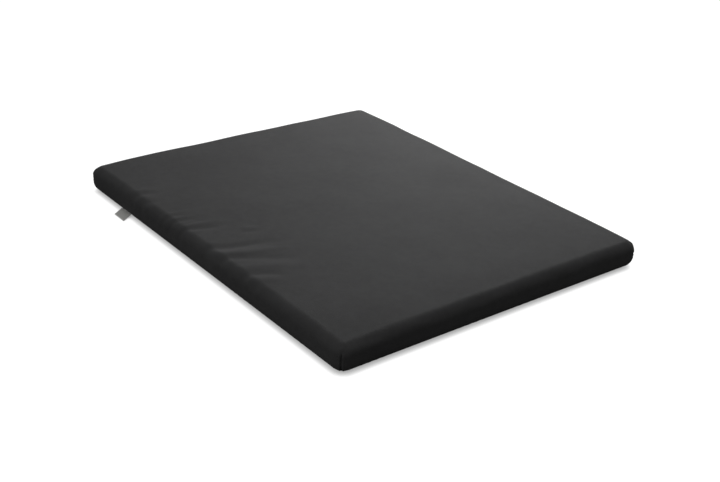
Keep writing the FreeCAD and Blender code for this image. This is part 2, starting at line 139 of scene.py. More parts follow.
@dataclass(frozen=True)
class Lattice:
    """Lines that every layer's mesh is laid out on: across the flat faces and round the sides."""

    corner_steps: tuple[float, ...] = (0.8, 1.0, 1.25, 1.56, 1.95, 2.44, 3.05, 3.81, 4.77)
    corner_reach: float = 26.7
    fine: float = 0.006
    coarse: float = 0.0125
    along: tuple[float, ...] = (-0.566, -0.550, -0.547, -0.544, -0.36, 0.32, 0.544, 0.547, 0.550, 0.566)
    along_fine: tuple[float, float] = (-0.36, 0.32)
    across: tuple[float, ...] = (-0.466, -0.27, 0.466)
    across_fine: tuple[float, float] = (-0.466, -0.27)

    def corner_shares(self) -> np.ndarray:
        """Shares of a rounded corner from its middle line, 1, to its end, 0, closest together at the line."""
        arc = np.concatenate([[0.0], np.cumsum(self.corner_steps), [self.corner_reach]])
        return np.tan(math.pi / 4 * (1 - arc / self.corner_reach))

    def lines(self, breaks: Sequence[float], fine_zone: tuple[float, float]) -> tuple[np.ndarray, np.ndarray]:
        """Lines across one direction of the slab.

        Args:
            breaks: places that have to fall on a line, from one corner centre to the other.
            fine_zone: the stretch with closely spaced lines.

        Returns:
            The centre of each line as a share of the reach from -1 to 1, and its share of a corner.
        """
        centres = [breaks[0]]
        for start, end in zip(breaks, breaks[1:]):
            step = self.fine if fine_zone[0] <= start < fine_zone[1] else self.coarse
            count = max(1, math.ceil((end - start) / step - 1e-6))
            centres.extend(np.linspace(start, end, count + 1)[1:])
        reach = breaks[-1]
        shares = self.corner_shares()
        ends = len(shares) - 1
        places = np.concatenate([np.full(ends, -reach), centres, np.full(ends, reach)]) / reach
        corner = np.concatenate([-shares[:-1], np.zeros(len(centres)), shares[:-1][::-1]])
        return places, corner


@dataclass
class Skin:
    """A surface under construction: its points, their normals and its faces."""

    points: np.ndarray
    normals: np.ndarray
    faces: np.ndarray

    def kept(self, mask: np.ndarray) -> "Skin":
        """The same surface with only some of its faces, and no unused points."""
        faces = self.faces[mask]
        used, index = np.unique(faces, return_inverse=True)
        return Skin(self.points[used], self.normals[used], index.reshape(-1, 4))

    def face_middles(self) -> np.ndarray:
        """Middle point of each face."""
        return self.points[self.faces].mean(axis=1)


@dataclass(frozen=True)
class Slab:
    """Lays a layer's surface out on the lattice, between its upper and its lower row."""

    outline: Outline
    lattice: Lattice
    rows: tuple[Row, ...]
    top: bool = True
    base: bool = True

    def spots(self, i: np.ndarray, j: np.ndarray) -> tuple[np.ndarray, np.ndarray, np.ndarray]:
        """Corner centre, outward direction and corner share of lattice crossings.

        Args:
            i: line numbers along the length.
            j: line numbers across the width.

        Returns:
            Centres and unit directions as rows of two, and the shares.
        """
        along, share_x = self.lattice.lines(self.lattice.along, self.lattice.along_fine)
        across, share_y = self.lattice.lines(self.lattice.across, self.lattice.across_fine)
        reach_x = self.outline.half_length - self.outline.corner
        reach_y = self.outline.half_width - self.outline.corner
        ease = self.outline.rear_ease
        centre = np.stack(
            [along[i] * reach_x, across[j] * reach_y - ease * (across[j] + 1) / 2], axis=-1
        )
        way = np.stack([share_x[i], share_y[j]], axis=-1)
        size = np.linalg.norm(way, axis=-1, keepdims=True)
        share = np.abs(way).max(axis=-1)
        return centre, way / np.maximum(size, 1e-12), share

    def counts(self) -> tuple[int, int]:
        """Numbers of lattice lines along and across."""
        along, _ = self.lattice.lines(self.lattice.along, self.lattice.along_fine)
        across, _ = self.lattice.lines(self.lattice.across, self.lattice.across_fine)
        return len(along), len(across)

    def edge(self) -> tuple[np.ndarray, np.ndarray]:
        """Lattice crossings round the slab, anticlockwise from the front left corner."""
        nx, ny = self.counts()
        front, right = np.arange(nx), np.arange(1, ny)
        rear, left = np.arange(nx - 2, -1, -1), np.arange(ny - 2, 0, -1)
        i = np.concatenate([front, np.full(len(right), nx - 1), rear, np.zeros(len(left), int)])
        j = np.concatenate([np.zeros(nx, int), right, np.full(len(rear), ny - 1), left])
        return i, j

    def ring(self, row: Row) -> tuple[np.ndarray, np.ndarray]:
        """Points and normals round the slab on one row."""
        centre, way, _ = self.spots(*self.edge())
        out, height, normal_out, normal_up = self.outline.section(row)
        level = np.full(len(centre), height)
        points = np.column_stack([centre + way * out, level])
        return points, np.column_stack([way * normal_out, np.full(len(centre), normal_up)])

    def cap(self, row: Row, up: float) -> tuple[np.ndarray, np.ndarray]:
        """Points and normals of the flat face inside one row."""
        nx, ny = self.counts()
        i, j = (a.ravel() for a in np.meshgrid(np.arange(nx), np.arange(ny), indexing="ij"))
        centre, way, share = self.spots(i, j)
        out, height, _, _ = self.outline.section(row)
        points = np.column_stack([centre + way * (share * out)[:, None], np.full(len(i), height)])
        return points, np.tile([0.0, 0.0, up], (len(i), 1))

    def skin(self) -> Skin:
        """The whole surface, with its sides and the flat faces that it has."""
        nx, ny = self.counts()
        i, j = self.edge()
        round_count = len(i)
        points, normals, faces = [], [], []
        for row in self.rows:
            ring_points, ring_normals = self.ring(row)
            points.append(ring_points)
            normals.append(ring_normals)
        here = np.arange(round_count)
        following = np.roll(here, -1)
        for level in range(len(self.rows) - 1):
            upper, lower = level * round_count, (level + 1) * round_count
            faces.append(np.stack([lower + here, lower + following, upper + following, upper + here], axis=1))
        start = len(self.rows) * round_count
        cell_i, cell_j = (a.ravel() for a in np.meshgrid(np.arange(nx - 1), np.arange(ny - 1), indexing="ij"))
        for wanted, row, up, first in (
            (self.top, self.rows[0], 1.0, 0),
            (self.base, self.rows[-1], -1.0, (len(self.rows) - 1) * round_count),
        ):
            if not wanted:
                continue
            cap_points, cap_normals = self.cap(row, up)
            number = start + np.arange(nx * ny)
            number[i * ny + j] = first + here
            quad = np.stack(
                [
                    number[cell_i * ny + cell_j],
                    number[(cell_i + 1) * ny + cell_j],
                    number[(cell_i + 1) * ny + cell_j + 1],
                    number[cell_i * ny + cell_j + 1],
                ],
                axis=1,
            )
            faces.append(quad if up > 0 else quad[:, ::-1])
            points.append(cap_points)
            normals.append(cap_normals)
            start += nx * ny
        skin = Skin(np.concatenate(points), np.concatenate(normals), np.concatenate(faces))
        return skin.kept(np.ones(len(skin.faces), bool))


# ---------------------------------------------------------------- relief of the sewn cloth

def smooth(amount: np.ndarray) -> np.ndarray:
    """Soft step from 0 to 1 while the amount goes from 0 to 1."""
    held = np.clip(amount, 0.0, 1.0)
    return held * held * (3 - 2 * held)


def bell(distance: np.ndarray, breadth: float) -> np.ndarray:
    """Bell curve that is 1 at no distance."""
    return np.exp(-0.5 * (distance / breadth) ** 2)


@dataclass(frozen=True)
class Wrinkle:
    """A crease of the cover that starts at the side and runs out on the top.

    It is a ridge, or a valley if it falls.
    """

    path: tuple[tuple[float, float], ...]
    rise: float
    breadth: float
    start_fade: float = 0.12
    end_fade: float = 0.55

    def softened(self) -> np.ndarray:
        """The path with its corners rounded off twice."""
        line = np.array(self.path)
        for _ in range(2):
            near, far = line[:-1] * 0.75 + line[1:] * 0.25, line[:-1] * 0.25 + line[1:] * 0.75
            between = np.stack([near, far], axis=1).reshape(-1, 2)
            line = np.concatenate([line[:1], between, line[-1:]])
        return line

    def height(self, spots: np.ndarray) -> np.ndarray:
        """Height of the crease at places on the plan.

        Args:
            spots: places as rows of X and Y.

        Returns:
            One height for each place.
        """
        line = self.softened()
        legs = np.diff(line, axis=0)
        lengths = np.linalg.norm(legs, axis=1)
        before = np.concatenate([[0.0], np.cumsum(lengths)])
        best = np.full(len(spots), np.inf)
        along = np.zeros(len(spots))
        for start, leg, length, passed in zip(line, legs, lengths, before):
            share = np.clip((spots - start) @ leg / length**2, 0.0, 1.0)
            away = np.linalg.norm(spots - start - share[:, None] * leg, axis=1)
            nearer = away < best
            best = np.where(nearer, away, best)
            along = np.where(nearer, (passed + share * length) / before[-1], along)
        fade = smooth(along / self.start_fade) * smooth((1 - along) / self.end_fade)
        return self.rise * fade * bell(best, self.breadth)


FRONT_WRINKLES = (
    Wrinkle(
        ((0.006, -0.512), (0.049, -0.474), (0.071, -0.415), (0.087, -0.350), (0.115, -0.290)),
        -3.0 * MM, 0.0095,
    ),
    Wrinkle(
        ((0.060, -0.512), (0.080, -0.480), (0.112, -0.417), (0.133, -0.333), (0.165, -0.280)),
        2.2 * MM, 0.0095,
    ),
    Wrinkle(
        ((0.092, -0.512), (0.110, -0.471), (0.147, -0.412), (0.186, -0.359), (0.215, -0.290)),
        -2.2 * MM, 0.0105,
    ),
    Wrinkle(((0.150, -0.512), (0.175, -0.456), (0.217, -0.380), (0.262, -0.305)), 1.4 * MM, 0.011),
    Wrinkle(((0.185, -0.512), (0.202, -0.484), (0.236, -0.429), (0.268, -0.395)), -2.0 * MM, 0.009),
    Wrinkle(((0.222, -0.512), (0.237, -0.482), (0.290, -0.395)), 1.2 * MM, 0.010),
    Wrinkle(((-0.100, -0.512), (-0.083, -0.479), (-0.057, -0.420), (-0.048, -0.355)), -2.2 * MM, 0.0085),
    Wrinkle(((-0.110, -0.512), (-0.097, -0.478), (-0.088, -0.412), (-0.074, -0.370)), 1.5 * MM, 0.007),
    Wrinkle(((-0.150, -0.512), (-0.139, -0.488), (-0.132, -0.449), (-0.120, -0.412)), -1.5 * MM, 0.007),
    Wrinkle(((-0.165, -0.512), (-0.152, -0.482), (-0.139, -0.420)), 1.2 * MM, 0.007),
    Wrinkle(((-0.200, -0.512), (-0.184, -0.474), (-0.172, -0.437), (-0.170, -0.395)), 1.0 * MM, 0.008),
    Wrinkle(((-0.345, -0.505), (-0.329, -0.458), (-0.305, -0.410)), -1.4 * MM, 0.008),
    Wrinkle(((-0.370, -0.505), (-0.355, -0.457), (-0.325, -0.400)), 1.2 * MM, 0.008),
    Wrinkle(((-0.300, -0.510), (-0.284, -0.479), (-0.250, -0.468)), -1.8 * MM, 0.009),
    Wrinkle(((0.000, -0.385), (0.010, -0.362), (0.034, -0.318)), -1.1 * MM, 0.007, 0.4),
    Wrinkle(((-0.016, -0.372), (-0.006, -0.350), (0.012, -0.312)), 1.0 * MM, 0.007, 0.4),
)


@dataclass(frozen=True)
class Ripple:
    """Shallow waves with no pattern, as loosely fitted cloth lies, from a fixed seed."""

    seed: int
    shortest: float
    longest: float
    height: float
    count: int = 14

    def at(self, points: np.ndarray) -> np.ndarray:
        """Height of the waves at points in space."""
        draw = np.random.default_rng(self.seed)
        total = np.zeros(len(points))
        for _ in range(self.count):
            way = draw.normal(size=3)
            way /= np.linalg.norm(way)
            length = math.exp(draw.uniform(math.log(self.shortest), math.log(self.longest)))
            total += np.sin(points @ way * (math.tau / length) + draw.uniform(0, math.tau))
        return self.height * total / math.sqrt(self.count)


@dataclass(frozen=True)
class Relief:
    """How far the cloth stands off its outline at each point: fullness, wrinkles, seams and puckers."""

    outline: Outline = Outline()
    crown: float = 1.6 * MM
    waist: float = 1.2 * MM
    top_waves: Ripple = Ripple(11, 0.16, 0.55, 0.55 * MM)
    edge_waves: Ripple = Ripple(23, 0.05, 0.17, 0.60 * MM)
    side_waves: Ripple = Ripple(37, 0.05, 0.22, 0.55 * MM)
    corner_droops: tuple[tuple[float, float, float], ...] = (
        (1.0, -1.0, 4.5 * MM), (-1.0, -1.0, 4.0 * MM), (1.0, 1.0, 2.5 * MM), (-1.0, 1.0, 2.0 * MM)
    )
    droop_reach: float = 0.065
    edge_droop: float = 1.6 * MM
    edge_reach: float = 0.045
    wrinkles: tuple[Wrinkle, ...] = FRONT_WRINKLES
    seam_level: float = 0.006
    seam_groove: float = 1.3 * MM
    seam_breadth: float = 2.0 * MM
    dart_top: float = 0.058
    dart_groove: float = 3.0 * MM
    dart_breadth: float = 1.5 * MM
    pucker_pitch: float = 0.0085
    zip_level: float = 0.042
    zip_half: float = 0.547
    opening_half: float = 0.006
    stitch_row: float = 0.00875

    def fullness(self, points: np.ndarray, normals: np.ndarray) -> np.ndarray:
        """Crown of the top, and the sides drawn in between their corners."""
        x = points[:, 0] / self.outline.half_length
        y = points[:, 1] / self.outline.half_width
        top = np.clip(normals[:, 2], 0.0, 1.0) ** 2
        side = 1 - normals[:, 2] ** 2
        bow = np.where(np.abs(normals[:, 0]) > np.abs(normals[:, 1]), 1 - y**2, 1 - x**2)
        drawn_in = self.waist * side * np.clip(bow, 0, 1) * self.calm(points)
        return self.crown * top * (1 - x**4) * (1 - y**4) - drawn_in - self.droop(points, normals)

    def droop(self, points: np.ndarray, normals: np.ndarray) -> np.ndarray:
        """How much the top gives way along its edges, and more at each corner."""
        reach = np.array([self.outline.half_length, self.outline.half_width])
        top = smooth(np.clip(normals[:, 2], 0.0, 1.0) / 0.9)
        from_edge = (reach - np.abs(points[:, :2])).min(axis=1)
        total = self.edge_droop * bell(from_edge, self.edge_reach)
        for along, across, depth in self.corner_droops:
            away = np.linalg.norm(points[:, :2] - reach * np.array([along, across]), axis=1)
            total += depth * bell(away, self.droop_reach)
        return top * total

    @staticmethod
    def calm(points: np.ndarray) -> np.ndarray:
        """1 where cloth lies loosely, and 0 round the zip, whose tapes keep it straight."""
        rear = smooth((points[:, 1] - 0.470) / 0.010) * smooth((0.072 - points[:, 2]) / 0.014)
        return 1 - rear

    def waves(self, points: np.ndarray, normals: np.ndarray) -> np.ndarray:
        """Loose waves of the top, of its edge and of the sides, which fade out at the floor and the zip."""
        up = np.clip(normals[:, 2], 0.0, 1.0)
        level = smooth((points[:, 2] - 0.010) / 0.030)
        edge = smooth(up / 0.5) * smooth((1.03 - up) / 0.35) * level
        side = smooth((0.75 - up) / 0.5) * level
        return self.calm(points) * (
            self.top_waves.at(points) * smooth(up / 0.8)
            + self.edge_waves.at(points) * edge
            + self.side_waves.at(points) * side
        )

    def creases(self, points: np.ndarray) -> np.ndarray:
        """The wrinkles, which fade out down the side."""
        fade = smooth((points[:, 2] - 0.024) / 0.042)
        plan = points[:, :2]
        return fade * sum(wrinkle.height(plan) for wrinkle in self.wrinkles)

    def corner_offset(self, points: np.ndarray) -> tuple[np.ndarray, np.ndarray]:
        """Distance from the nearest corner's middle plane, and whether a point is at a corner at all."""
        dx = np.abs(points[:, 0]) - (self.outline.half_length - self.outline.corner)
        dy = np.abs(points[:, 1]) - (self.outline.half_width - self.outline.corner)
        near = smooth((np.minimum(dx, dy) + 0.012) / 0.016) * (np.hypot(dx, dy) > 0.010)
        return (dx - dy) / math.sqrt(2), near

    def darts(self, points: np.ndarray) -> np.ndarray:
        """Upright seam of each corner: a groove with small puckers beside it and a dimple at its top."""
        offset, near = self.corner_offset(points)
        level = points[:, 2]
        sewn = smooth((self.dart_top + 0.001 - level) / 0.006)
        widen = 1 + 0.5 * smooth((0.020 - level) / 0.012)
        groove = -self.dart_groove * bell(offset, 1.0 * self.dart_breadth) * widen * sewn
        lips = 1.0 * MM * bell(np.abs(offset) - 0.0042, 0.0020) * sewn
        pull = np.sin(level * math.tau / 0.0095 + 1.1 * np.sign(offset))
        pucker = 0.28 * MM * pull * bell(offset, 0.007) * (1 - bell(offset, 0.0012)) * sewn
        dimple = -1.4 * MM * bell(level - 0.0605, 0.0038) * bell(offset - 0.0025, 0.0042)
        knuckle = 1.1 * MM * bell(level - 0.0665, 0.0050) * bell(offset + 0.004, 0.006)
        sides_only = smooth((level - 0.0015) / 0.0035)
        return near * sides_only * (groove + lips + pucker + dimple + knuckle)

    def base_seam(self, points: np.ndarray, normals: np.ndarray) -> np.ndarray:
        """Groove of the seam round the base, with its puckers."""
        rise = points[:, 2] - self.seam_level
        turned = smooth((-normals[:, 2] - 0.15) / 0.4) * smooth((1.02 + normals[:, 2]) / 0.12)
        walk = points[:, 0] + points[:, 1] * np.sign(points[:, 0] * points[:, 1] + 1e-9)
        beat = np.sin(walk * math.tau / self.pucker_pitch) + 0.6 * np.sin(walk * math.tau / 0.0233 + 1.0)
        uneven = 0.6 + 0.4 * np.sin(walk * math.tau / 0.31 + 0.4)
        pucker = 0.24 * MM * beat * uneven * bell(rise - 0.006, 0.006)
        return turned * (-self.seam_groove * bell(rise, self.seam_breadth) + pucker)

    def zip_edges(self, points: np.ndarray) -> np.ndarray:
        """Turned edges of the zip's opening, their stitched lines, and the seam on from its ends."""
        rear = smooth((points[:, 1] - 0.470) / 0.020) * (points[:, 1] > 0)
        rise = points[:, 2] - self.zip_level
        x = np.abs(points[:, 0])
        open_here = smooth((self.zip_half + 0.003 - x) / 0.006)
        fold = 0.55 * MM * bell(np.abs(rise) - self.opening_half - 0.001, 0.0011)
        line = -0.40 * MM * bell(np.abs(rise) - self.stitch_row, 0.0007)
        beat = 0.14 * MM * np.sin(points[:, 0] * math.tau / 0.0068) * bell(np.abs(rise) - 0.0075, 0.002)
        seam = -1.0 * MM * bell(rise, 0.0010)
        return rear * (open_here * (fold + line + beat) + (1 - open_here) * seam)

    def heights(self, points: np.ndarray, normals: np.ndarray, slack: float = 0.0) -> np.ndarray:
        """How far each point is moved along its normal.

        Args:
            points: points on a layer's plain outline.
            normals: their normals.
            slack: share of the wrinkles and seams by which a layer inside the cover draws back from them.

        Returns:
            The distances, which are 0 on the flat of the underside.
        """
        loose = self.fullness(points, normals) + self.waves(points, normals)
        creases = self.creases(points)
        sewn = self.darts(points) + self.base_seam(points, normals) + self.zip_edges(points)
        return loose + creases + sewn - slack * (np.abs(creases) + np.abs(sewn))

    def shaped(self, points: np.ndarray, normals: np.ndarray, slack: float = 0.0) -> np.ndarray:
        """The points after they are moved along their normals."""
        return points + normals * self.heights(points, normals, slack)[:, None]


# ---------------------------------------------------------------- node wiring and shared effects

class Wiring:
    """Adds and joins the nodes of one tree."""

    def __init__(self, tree: bpy.types.NodeTree) -> None:
        """Keep the tree that nodes go into."""
        self.tree = tree

    def node(
        self, kind: str, inputs: dict[str | int, object] | None = None, **settings: object
    ) -> bpy.types.Node:
        """Add a node.

        Args:
            kind: type name of the node.
            inputs: values or output sockets for its inputs, by name or number.
            settings: properties of the node.

        Returns:
            The new node.
        """
        node = self.tree.nodes.new(kind)
        for name, value in settings.items():
            setattr(node, name, value)
        for name, value in (inputs or {}).items():
            socket = node.inputs[name]
            if isinstance(value, bpy.types.NodeSocket):
                self.tree.links.new(value, socket)
            else:
                socket.default_value = value
        return node

    def math(self, operation: str, *values: object) -> bpy.types.NodeSocket:
        """Add a math node and give its output."""
        return self.node("ShaderNodeMath", dict(enumerate(values)), operation=operation).outputs[0]

    def noise(self, place: object, scale: float, detail: float = 3.0) -> bpy.types.NodeSocket:
        """Add a noise texture and give its value."""
        inputs = {"Vector": place, "Scale": scale, "Detail": detail}
        return self.node("ShaderNodeTexNoise", inputs).outputs["Fac"]

    def range(
        self, value: object, low: float, high: float, to_low: float = 0.0, to_high: float = 1.0
    ) -> object:
        """Add a node that maps one range to another and give its output."""
        inputs = {"Value": value, 1: low, 2: high, 3: to_low, 4: to_high}
        return self.node("ShaderNodeMapRange", inputs, clamp=True).outputs[0]

    def mix(self, share: object, first: object, second: object) -> bpy.types.NodeSocket:
        """Add a colour mix and give its colour."""
        node = self.node("ShaderNodeMix", data_type="RGBA")
        for number, value in ((0, share), (6, first), (7, second)):
            if isinstance(value, bpy.types.NodeSocket):
                self.tree.links.new(value, node.inputs[number])
            else:
                node.inputs[number].default_value = value
        return node.outputs[2]


class Effect(Enum):
    """Surface effects that several finishes share, each one node group."""

    WEAVE = "plain_weave"
    MOTTLE = "uneven_dye"
    FIBRE = "loose_fibre"
    WEAR = "rubbed_edges"


class Effects:
    """Builds each shared effect once, and places it in materials."""

    def __init__(self) -> None:
        """Build the groups."""
        self.groups = {
            Effect.WEAVE: self._weave(),
            Effect.MOTTLE: self._mottle(),
            Effect.FIBRE: self._fibre(),
            Effect.WEAR: self._wear(),
        }

    @staticmethod
    def _group(
        effect: Effect, inputs: dict[str, float], outputs: Sequence[str]
    ) -> tuple[Wiring, object, object]:
        """Start a group.

        Args:
            effect: the effect it is for.
            inputs: its inputs and their usual values.
            outputs: its outputs.

        Returns:
            The wiring of the group, its input node and its output node.
        """
        group = bpy.data.node_groups.new(effect.value, "ShaderNodeTree")
        for name, value in inputs.items():
            socket = group.interface.new_socket(name=name, in_out="INPUT", socket_type="NodeSocketFloat")
            socket.default_value = value
        for name in outputs:
            group.interface.new_socket(name=name, in_out="OUTPUT", socket_type="NodeSocketFloat")
        wiring = Wiring(group)
        return wiring, wiring.node("NodeGroupInput"), wiring.node("NodeGroupOutput")

    def _weave(self) -> bpy.types.NodeTree:
        """Threads over and under each other, on whichever plane the surface faces."""
        w, start, end = self._group(
            Effect.WEAVE, {"Threads per metre": 1800.0, "Slubs": 0.3}, ["Height", "Slub"]
        )
        place = w.node("ShaderNodeTexCoord").outputs["Object"]
        facing = w.node("ShaderNodeTexCoord").outputs["Normal"]
        spots = w.node("ShaderNodeSeparateXYZ", {0: place}).outputs
        faces = w.node("ShaderNodeSeparateXYZ", {0: facing}).outputs
        turn = w.math("MULTIPLY", start.outputs[0], math.pi)
        waves = [w.math("SINE", w.math("MULTIPLY", spot, turn)) for spot in spots]
        weights = [w.math("MULTIPLY", face, face) for face in faces]
        pairs = ((2, 0, 1), (0, 1, 2), (1, 0, 2))
        parts = [
            w.math("MULTIPLY", weights[face], w.math("MULTIPLY", waves[first], waves[second]))
            for face, first, second in pairs
        ]
        weave = w.math("ADD", w.math("ADD", parts[0], parts[1]), parts[2])
        stretch = w.node("ShaderNodeMapping", {"Vector": place, "Scale": (1.0, 9.0, 9.0)}).outputs[0]
        slub = w.noise(stretch, 55.0, 2.0)
        height = w.math("MULTIPLY_ADD", weave, 0.5, w.math("MULTIPLY", slub, start.outputs[1]))
        w.tree.links.new(height, end.inputs[0])
        w.tree.links.new(slub, end.inputs[1])
        return w.tree

    def _mottle(self) -> bpy.types.NodeTree:
        """Slow changes of shade, as dyed cloth has, with finer ones over them."""
        w, start, end = self._group(Effect.MOTTLE, {"Broad": 6.0, "Fine": 45.0}, ["Shade"])
        place = w.node("ShaderNodeTexCoord").outputs["Object"]
        broad = w.noise(place, start.outputs[0], 4.0)
        fine = w.noise(place, start.outputs[1], 3.0)
        shade = w.math("MULTIPLY_ADD", fine, 0.4, w.math("MULTIPLY", broad, 0.6))
        w.tree.links.new(w.range(shade, 0.36, 0.64), end.inputs[0])
        return w.tree

    def _fibre(self) -> bpy.types.NodeTree:
        """Tangled short fibres or small cells."""
        w, start, end = self._group(Effect.FIBRE, {"Scale": 300.0, "Stretch": 1.0}, ["Height", "Shade"])
        place = w.node("ShaderNodeTexCoord").outputs["Object"]
        scale = w.node("ShaderNodeCombineXYZ", {0: 1.0, 1: start.outputs[1], 2: start.outputs[1]}).outputs[0]
        drawn = w.node("ShaderNodeVectorMath", {0: place, 1: scale}, operation="MULTIPLY").outputs[0]
        tangle = w.noise(drawn, start.outputs[0], 5.0)
        w.tree.links.new(tangle, end.inputs[0])
        w.tree.links.new(w.range(tangle, 0.35, 0.65), end.inputs[1])
        return w.tree

    def _wear(self) -> bpy.types.NodeTree:
        """Rubbed places and fine scratches on a painted part."""
        w, start, end = self._group(Effect.WEAR, {"Amount": 0.5, "Scale": 900.0}, ["Mask", "Height"])
        place = w.node("ShaderNodeTexCoord").outputs["Object"]
        scratch = w.node("ShaderNodeMapping", {"Vector": place, "Scale": (0.15, 1.0, 1.0)}).outputs[0]
        marks = w.noise(scratch, start.outputs[1], 4.0)
        patch = w.noise(place, 260.0, 2.0)
        both = w.math("MULTIPLY", w.range(marks, 0.56, 0.66), w.range(patch, 0.45, 0.60))
        w.tree.links.new(w.math("MULTIPLY", both, start.outputs[0]), end.inputs[0])
        w.tree.links.new(marks, end.inputs[1])
        return w.tree

    def place(self, wiring: Wiring, effect: Effect, **values: float) -> bpy.types.Node:
        """Put an effect into a material.

        Args:
            wiring: wiring of the material.
            effect: the effect wanted.
            values: its inputs, with underscores for spaces.

        Returns:
            The group node.
        """
        node = wiring.node("ShaderNodeGroup", node_tree=self.groups[effect])
        for name, value in values.items():
            node.inputs[name.replace("_", " ")].default_value = value
        return node


# ---------------------------------------------------------------- finishes

Shade = tuple[float, float, float]


def opaque(shade: Shade) -> tuple[float, float, float, float]:
    """A shade as a colour socket takes it."""
    return (*shade, 1.0)


@dataclass(frozen=True)
class Finish:
    """What every finish has: a name, two shades to vary between, and how rough it is."""

    name: str
    dark: Shade
    light: Shade
    roughness: float
    relief: float = 0.2
    relief_depth: float = 0.0002

    def start(self) -> tuple[bpy.types.Material, Wiring, bpy.types.Node]:
        """A material with its shader set to this finish's constant values."""
        material = bpy.data.materials.new(self.name)
        material.use_nodes = True
        wiring = Wiring(material.node_tree)
        shader = material.node_tree.nodes["Principled BSDF"]
        shader.inputs["Roughness"].default_value = self.roughness
        material.diffuse_color = opaque(self.light)
        return material, wiring, shader

    def close(self, wiring: Wiring, shader: bpy.types.Node, shade: object, height: object) -> None:
        """Join a shade and a height to the shader.

        Args:
            wiring: wiring of the material.
            shader: its shader.
            shade: mask between the dark and the light shade.
            height: height for the bump.
        """
        colour = wiring.mix(shade, opaque(self.dark), opaque(self.light))
        wiring.tree.links.new(colour, shader.inputs["Base Color"])
        bump_inputs = {"Strength": self.relief, "Distance": self.relief_depth, "Height": height}
        bump = wiring.node("ShaderNodeBump", bump_inputs)
        wiring.tree.links.new(bump.outputs[0], shader.inputs["Normal"])


@dataclass(frozen=True)
class WovenFinish(Finish):
    """Plain woven cloth or tape."""

    threads: float = 1800.0
    slubs: float = 0.3
    broad: float = 6.0
    sheen: float = 0.0
    sheen_roughness: float = 0.5
    sheen_tint: Shade = (1.0, 1.0, 1.0)
    gloss: float = 0.3

    def material(self, effects: Effects) -> bpy.types.Material:
        """Build the material."""
        material, wiring, shader = self.start()
        shader.inputs["Sheen Weight"].default_value = self.sheen
        shader.inputs["Sheen Roughness"].default_value = self.sheen_roughness
        shader.inputs["Sheen Tint"].default_value = opaque(self.sheen_tint)
        shader.inputs["Specular IOR Level"].default_value = self.gloss
        weave = effects.place(wiring, Effect.WEAVE, Threads_per_metre=self.threads, Slubs=self.slubs)
        mottle = effects.place(wiring, Effect.MOTTLE, Broad=self.broad, Fine=self.broad * 8)
        shade = wiring.math(
            "MULTIPLY_ADD", weave.outputs[1], 0.35, wiring.math("MULTIPLY", mottle.outputs[0], 0.65)
        )
        self.close(wiring, shader, shade, weave.outputs[0])
        return material


@dataclass(frozen=True)
class FibreFinish(Finish):
    """Felt, foam or twisted thread, whose surface is fibres or cells."""

    scale: float = 300.0
    stretch: float = 1.0
    sheen: float = 0.0

    def material(self, effects: Effects) -> bpy.types.Material:
        """Build the material."""
        material, wiring, shader = self.start()
        shader.inputs["Sheen Weight"].default_value = self.sheen
        fibre = effects.place(wiring, Effect.FIBRE, Scale=self.scale, Stretch=self.stretch)
        self.close(wiring, shader, fibre.outputs[1], fibre.outputs[0])
        return material


@dataclass(frozen=True)
class PaintedFinish(Finish):
    """Painted or plated metal, or smooth plastic, with rubbed places."""

    metallic: float = 0.0
    coat: float = 0.0
    wear: float = 0.5

    def material(self, effects: Effects) -> bpy.types.Material:
        """Build the material."""
        material, wiring, shader = self.start()
        shader.inputs["Metallic"].default_value = self.metallic
        shader.inputs["Coat Weight"].default_value = self.coat
        wear = effects.place(wiring, Effect.WEAR, Amount=self.wear)
        rough = wiring.math("MULTIPLY_ADD", wear.outputs[0], 0.25, self.roughness)
        wiring.tree.links.new(rough, shader.inputs["Roughness"])
        self.close(wiring, shader, wear.outputs[0], wear.outputs[1])
        return material


COVER_CLOTH = WovenFinish(
    "charcoal_cover_cloth", (0.030, 0.030, 0.0305), (0.040, 0.040, 0.0405), 0.82, 0.35, 0.00025,
    threads=1500.0, slubs=0.25, broad=7.0, sheen=0.06, sheen_roughness=0.45, gloss=0.12,
)
CASING_CLOTH = WovenFinish(
    "unbleached_casing_cloth", (0.62, 0.57, 0.47), (0.76, 0.72, 0.62), 0.85, 0.35, 0.0003,
    threads=1100.0, slubs=0.5, broad=9.0, gloss=0.2,
)
LABEL_RIBBON = WovenFinish(
    "grey_label_ribbon", (0.55, 0.55, 0.53), (0.68, 0.68, 0.65), 0.60, 0.3, 0.0002,
    threads=2600.0, slubs=0.15, broad=40.0, gloss=0.35,
)
ZIP_TAPE_CLOTH = WovenFinish(
    "black_zip_tape_cloth", (0.012, 0.012, 0.013), (0.022, 0.022, 0.024), 0.75, 0.5, 0.0003,
    threads=1700.0, slubs=0.1, broad=30.0, gloss=0.3,
)
FELT = FibreFinish(
    "cotton_felt_fibre", (0.60, 0.55, 0.45), (0.82, 0.78, 0.69), 0.95, 0.8, 0.0012, scale=160.0
)
FOAM = FibreFinish("foam_cells", (0.78, 0.72, 0.50), (0.90, 0.85, 0.66), 0.85, 0.5, 0.0006, scale=620.0)
THREAD = FibreFinish(
    "black_sewing_thread", (0.010, 0.010, 0.011), (0.030, 0.030, 0.031), 0.55, 0.6, 0.0001,
    scale=2600.0, stretch=3.0, sheen=0.1,
)
PALE_THREAD = FibreFinish(
    "pale_sewing_thread", (0.60, 0.57, 0.50), (0.78, 0.75, 0.68), 0.6, 0.5, 0.0001, scale=2600.0, stretch=3.0
)
COIL_PLASTIC = PaintedFinish(
    "black_coil_plastic", (0.010, 0.010, 0.011), (0.030, 0.030, 0.032), 0.32, 0.1, 0.00005
)
STOP_METAL = PaintedFinish(
    "blackened_stop_metal", (0.014, 0.014, 0.015), (0.16, 0.155, 0.15), 0.42, 0.15, 0.00005,
    metallic=0.5, wear=0.6,
)
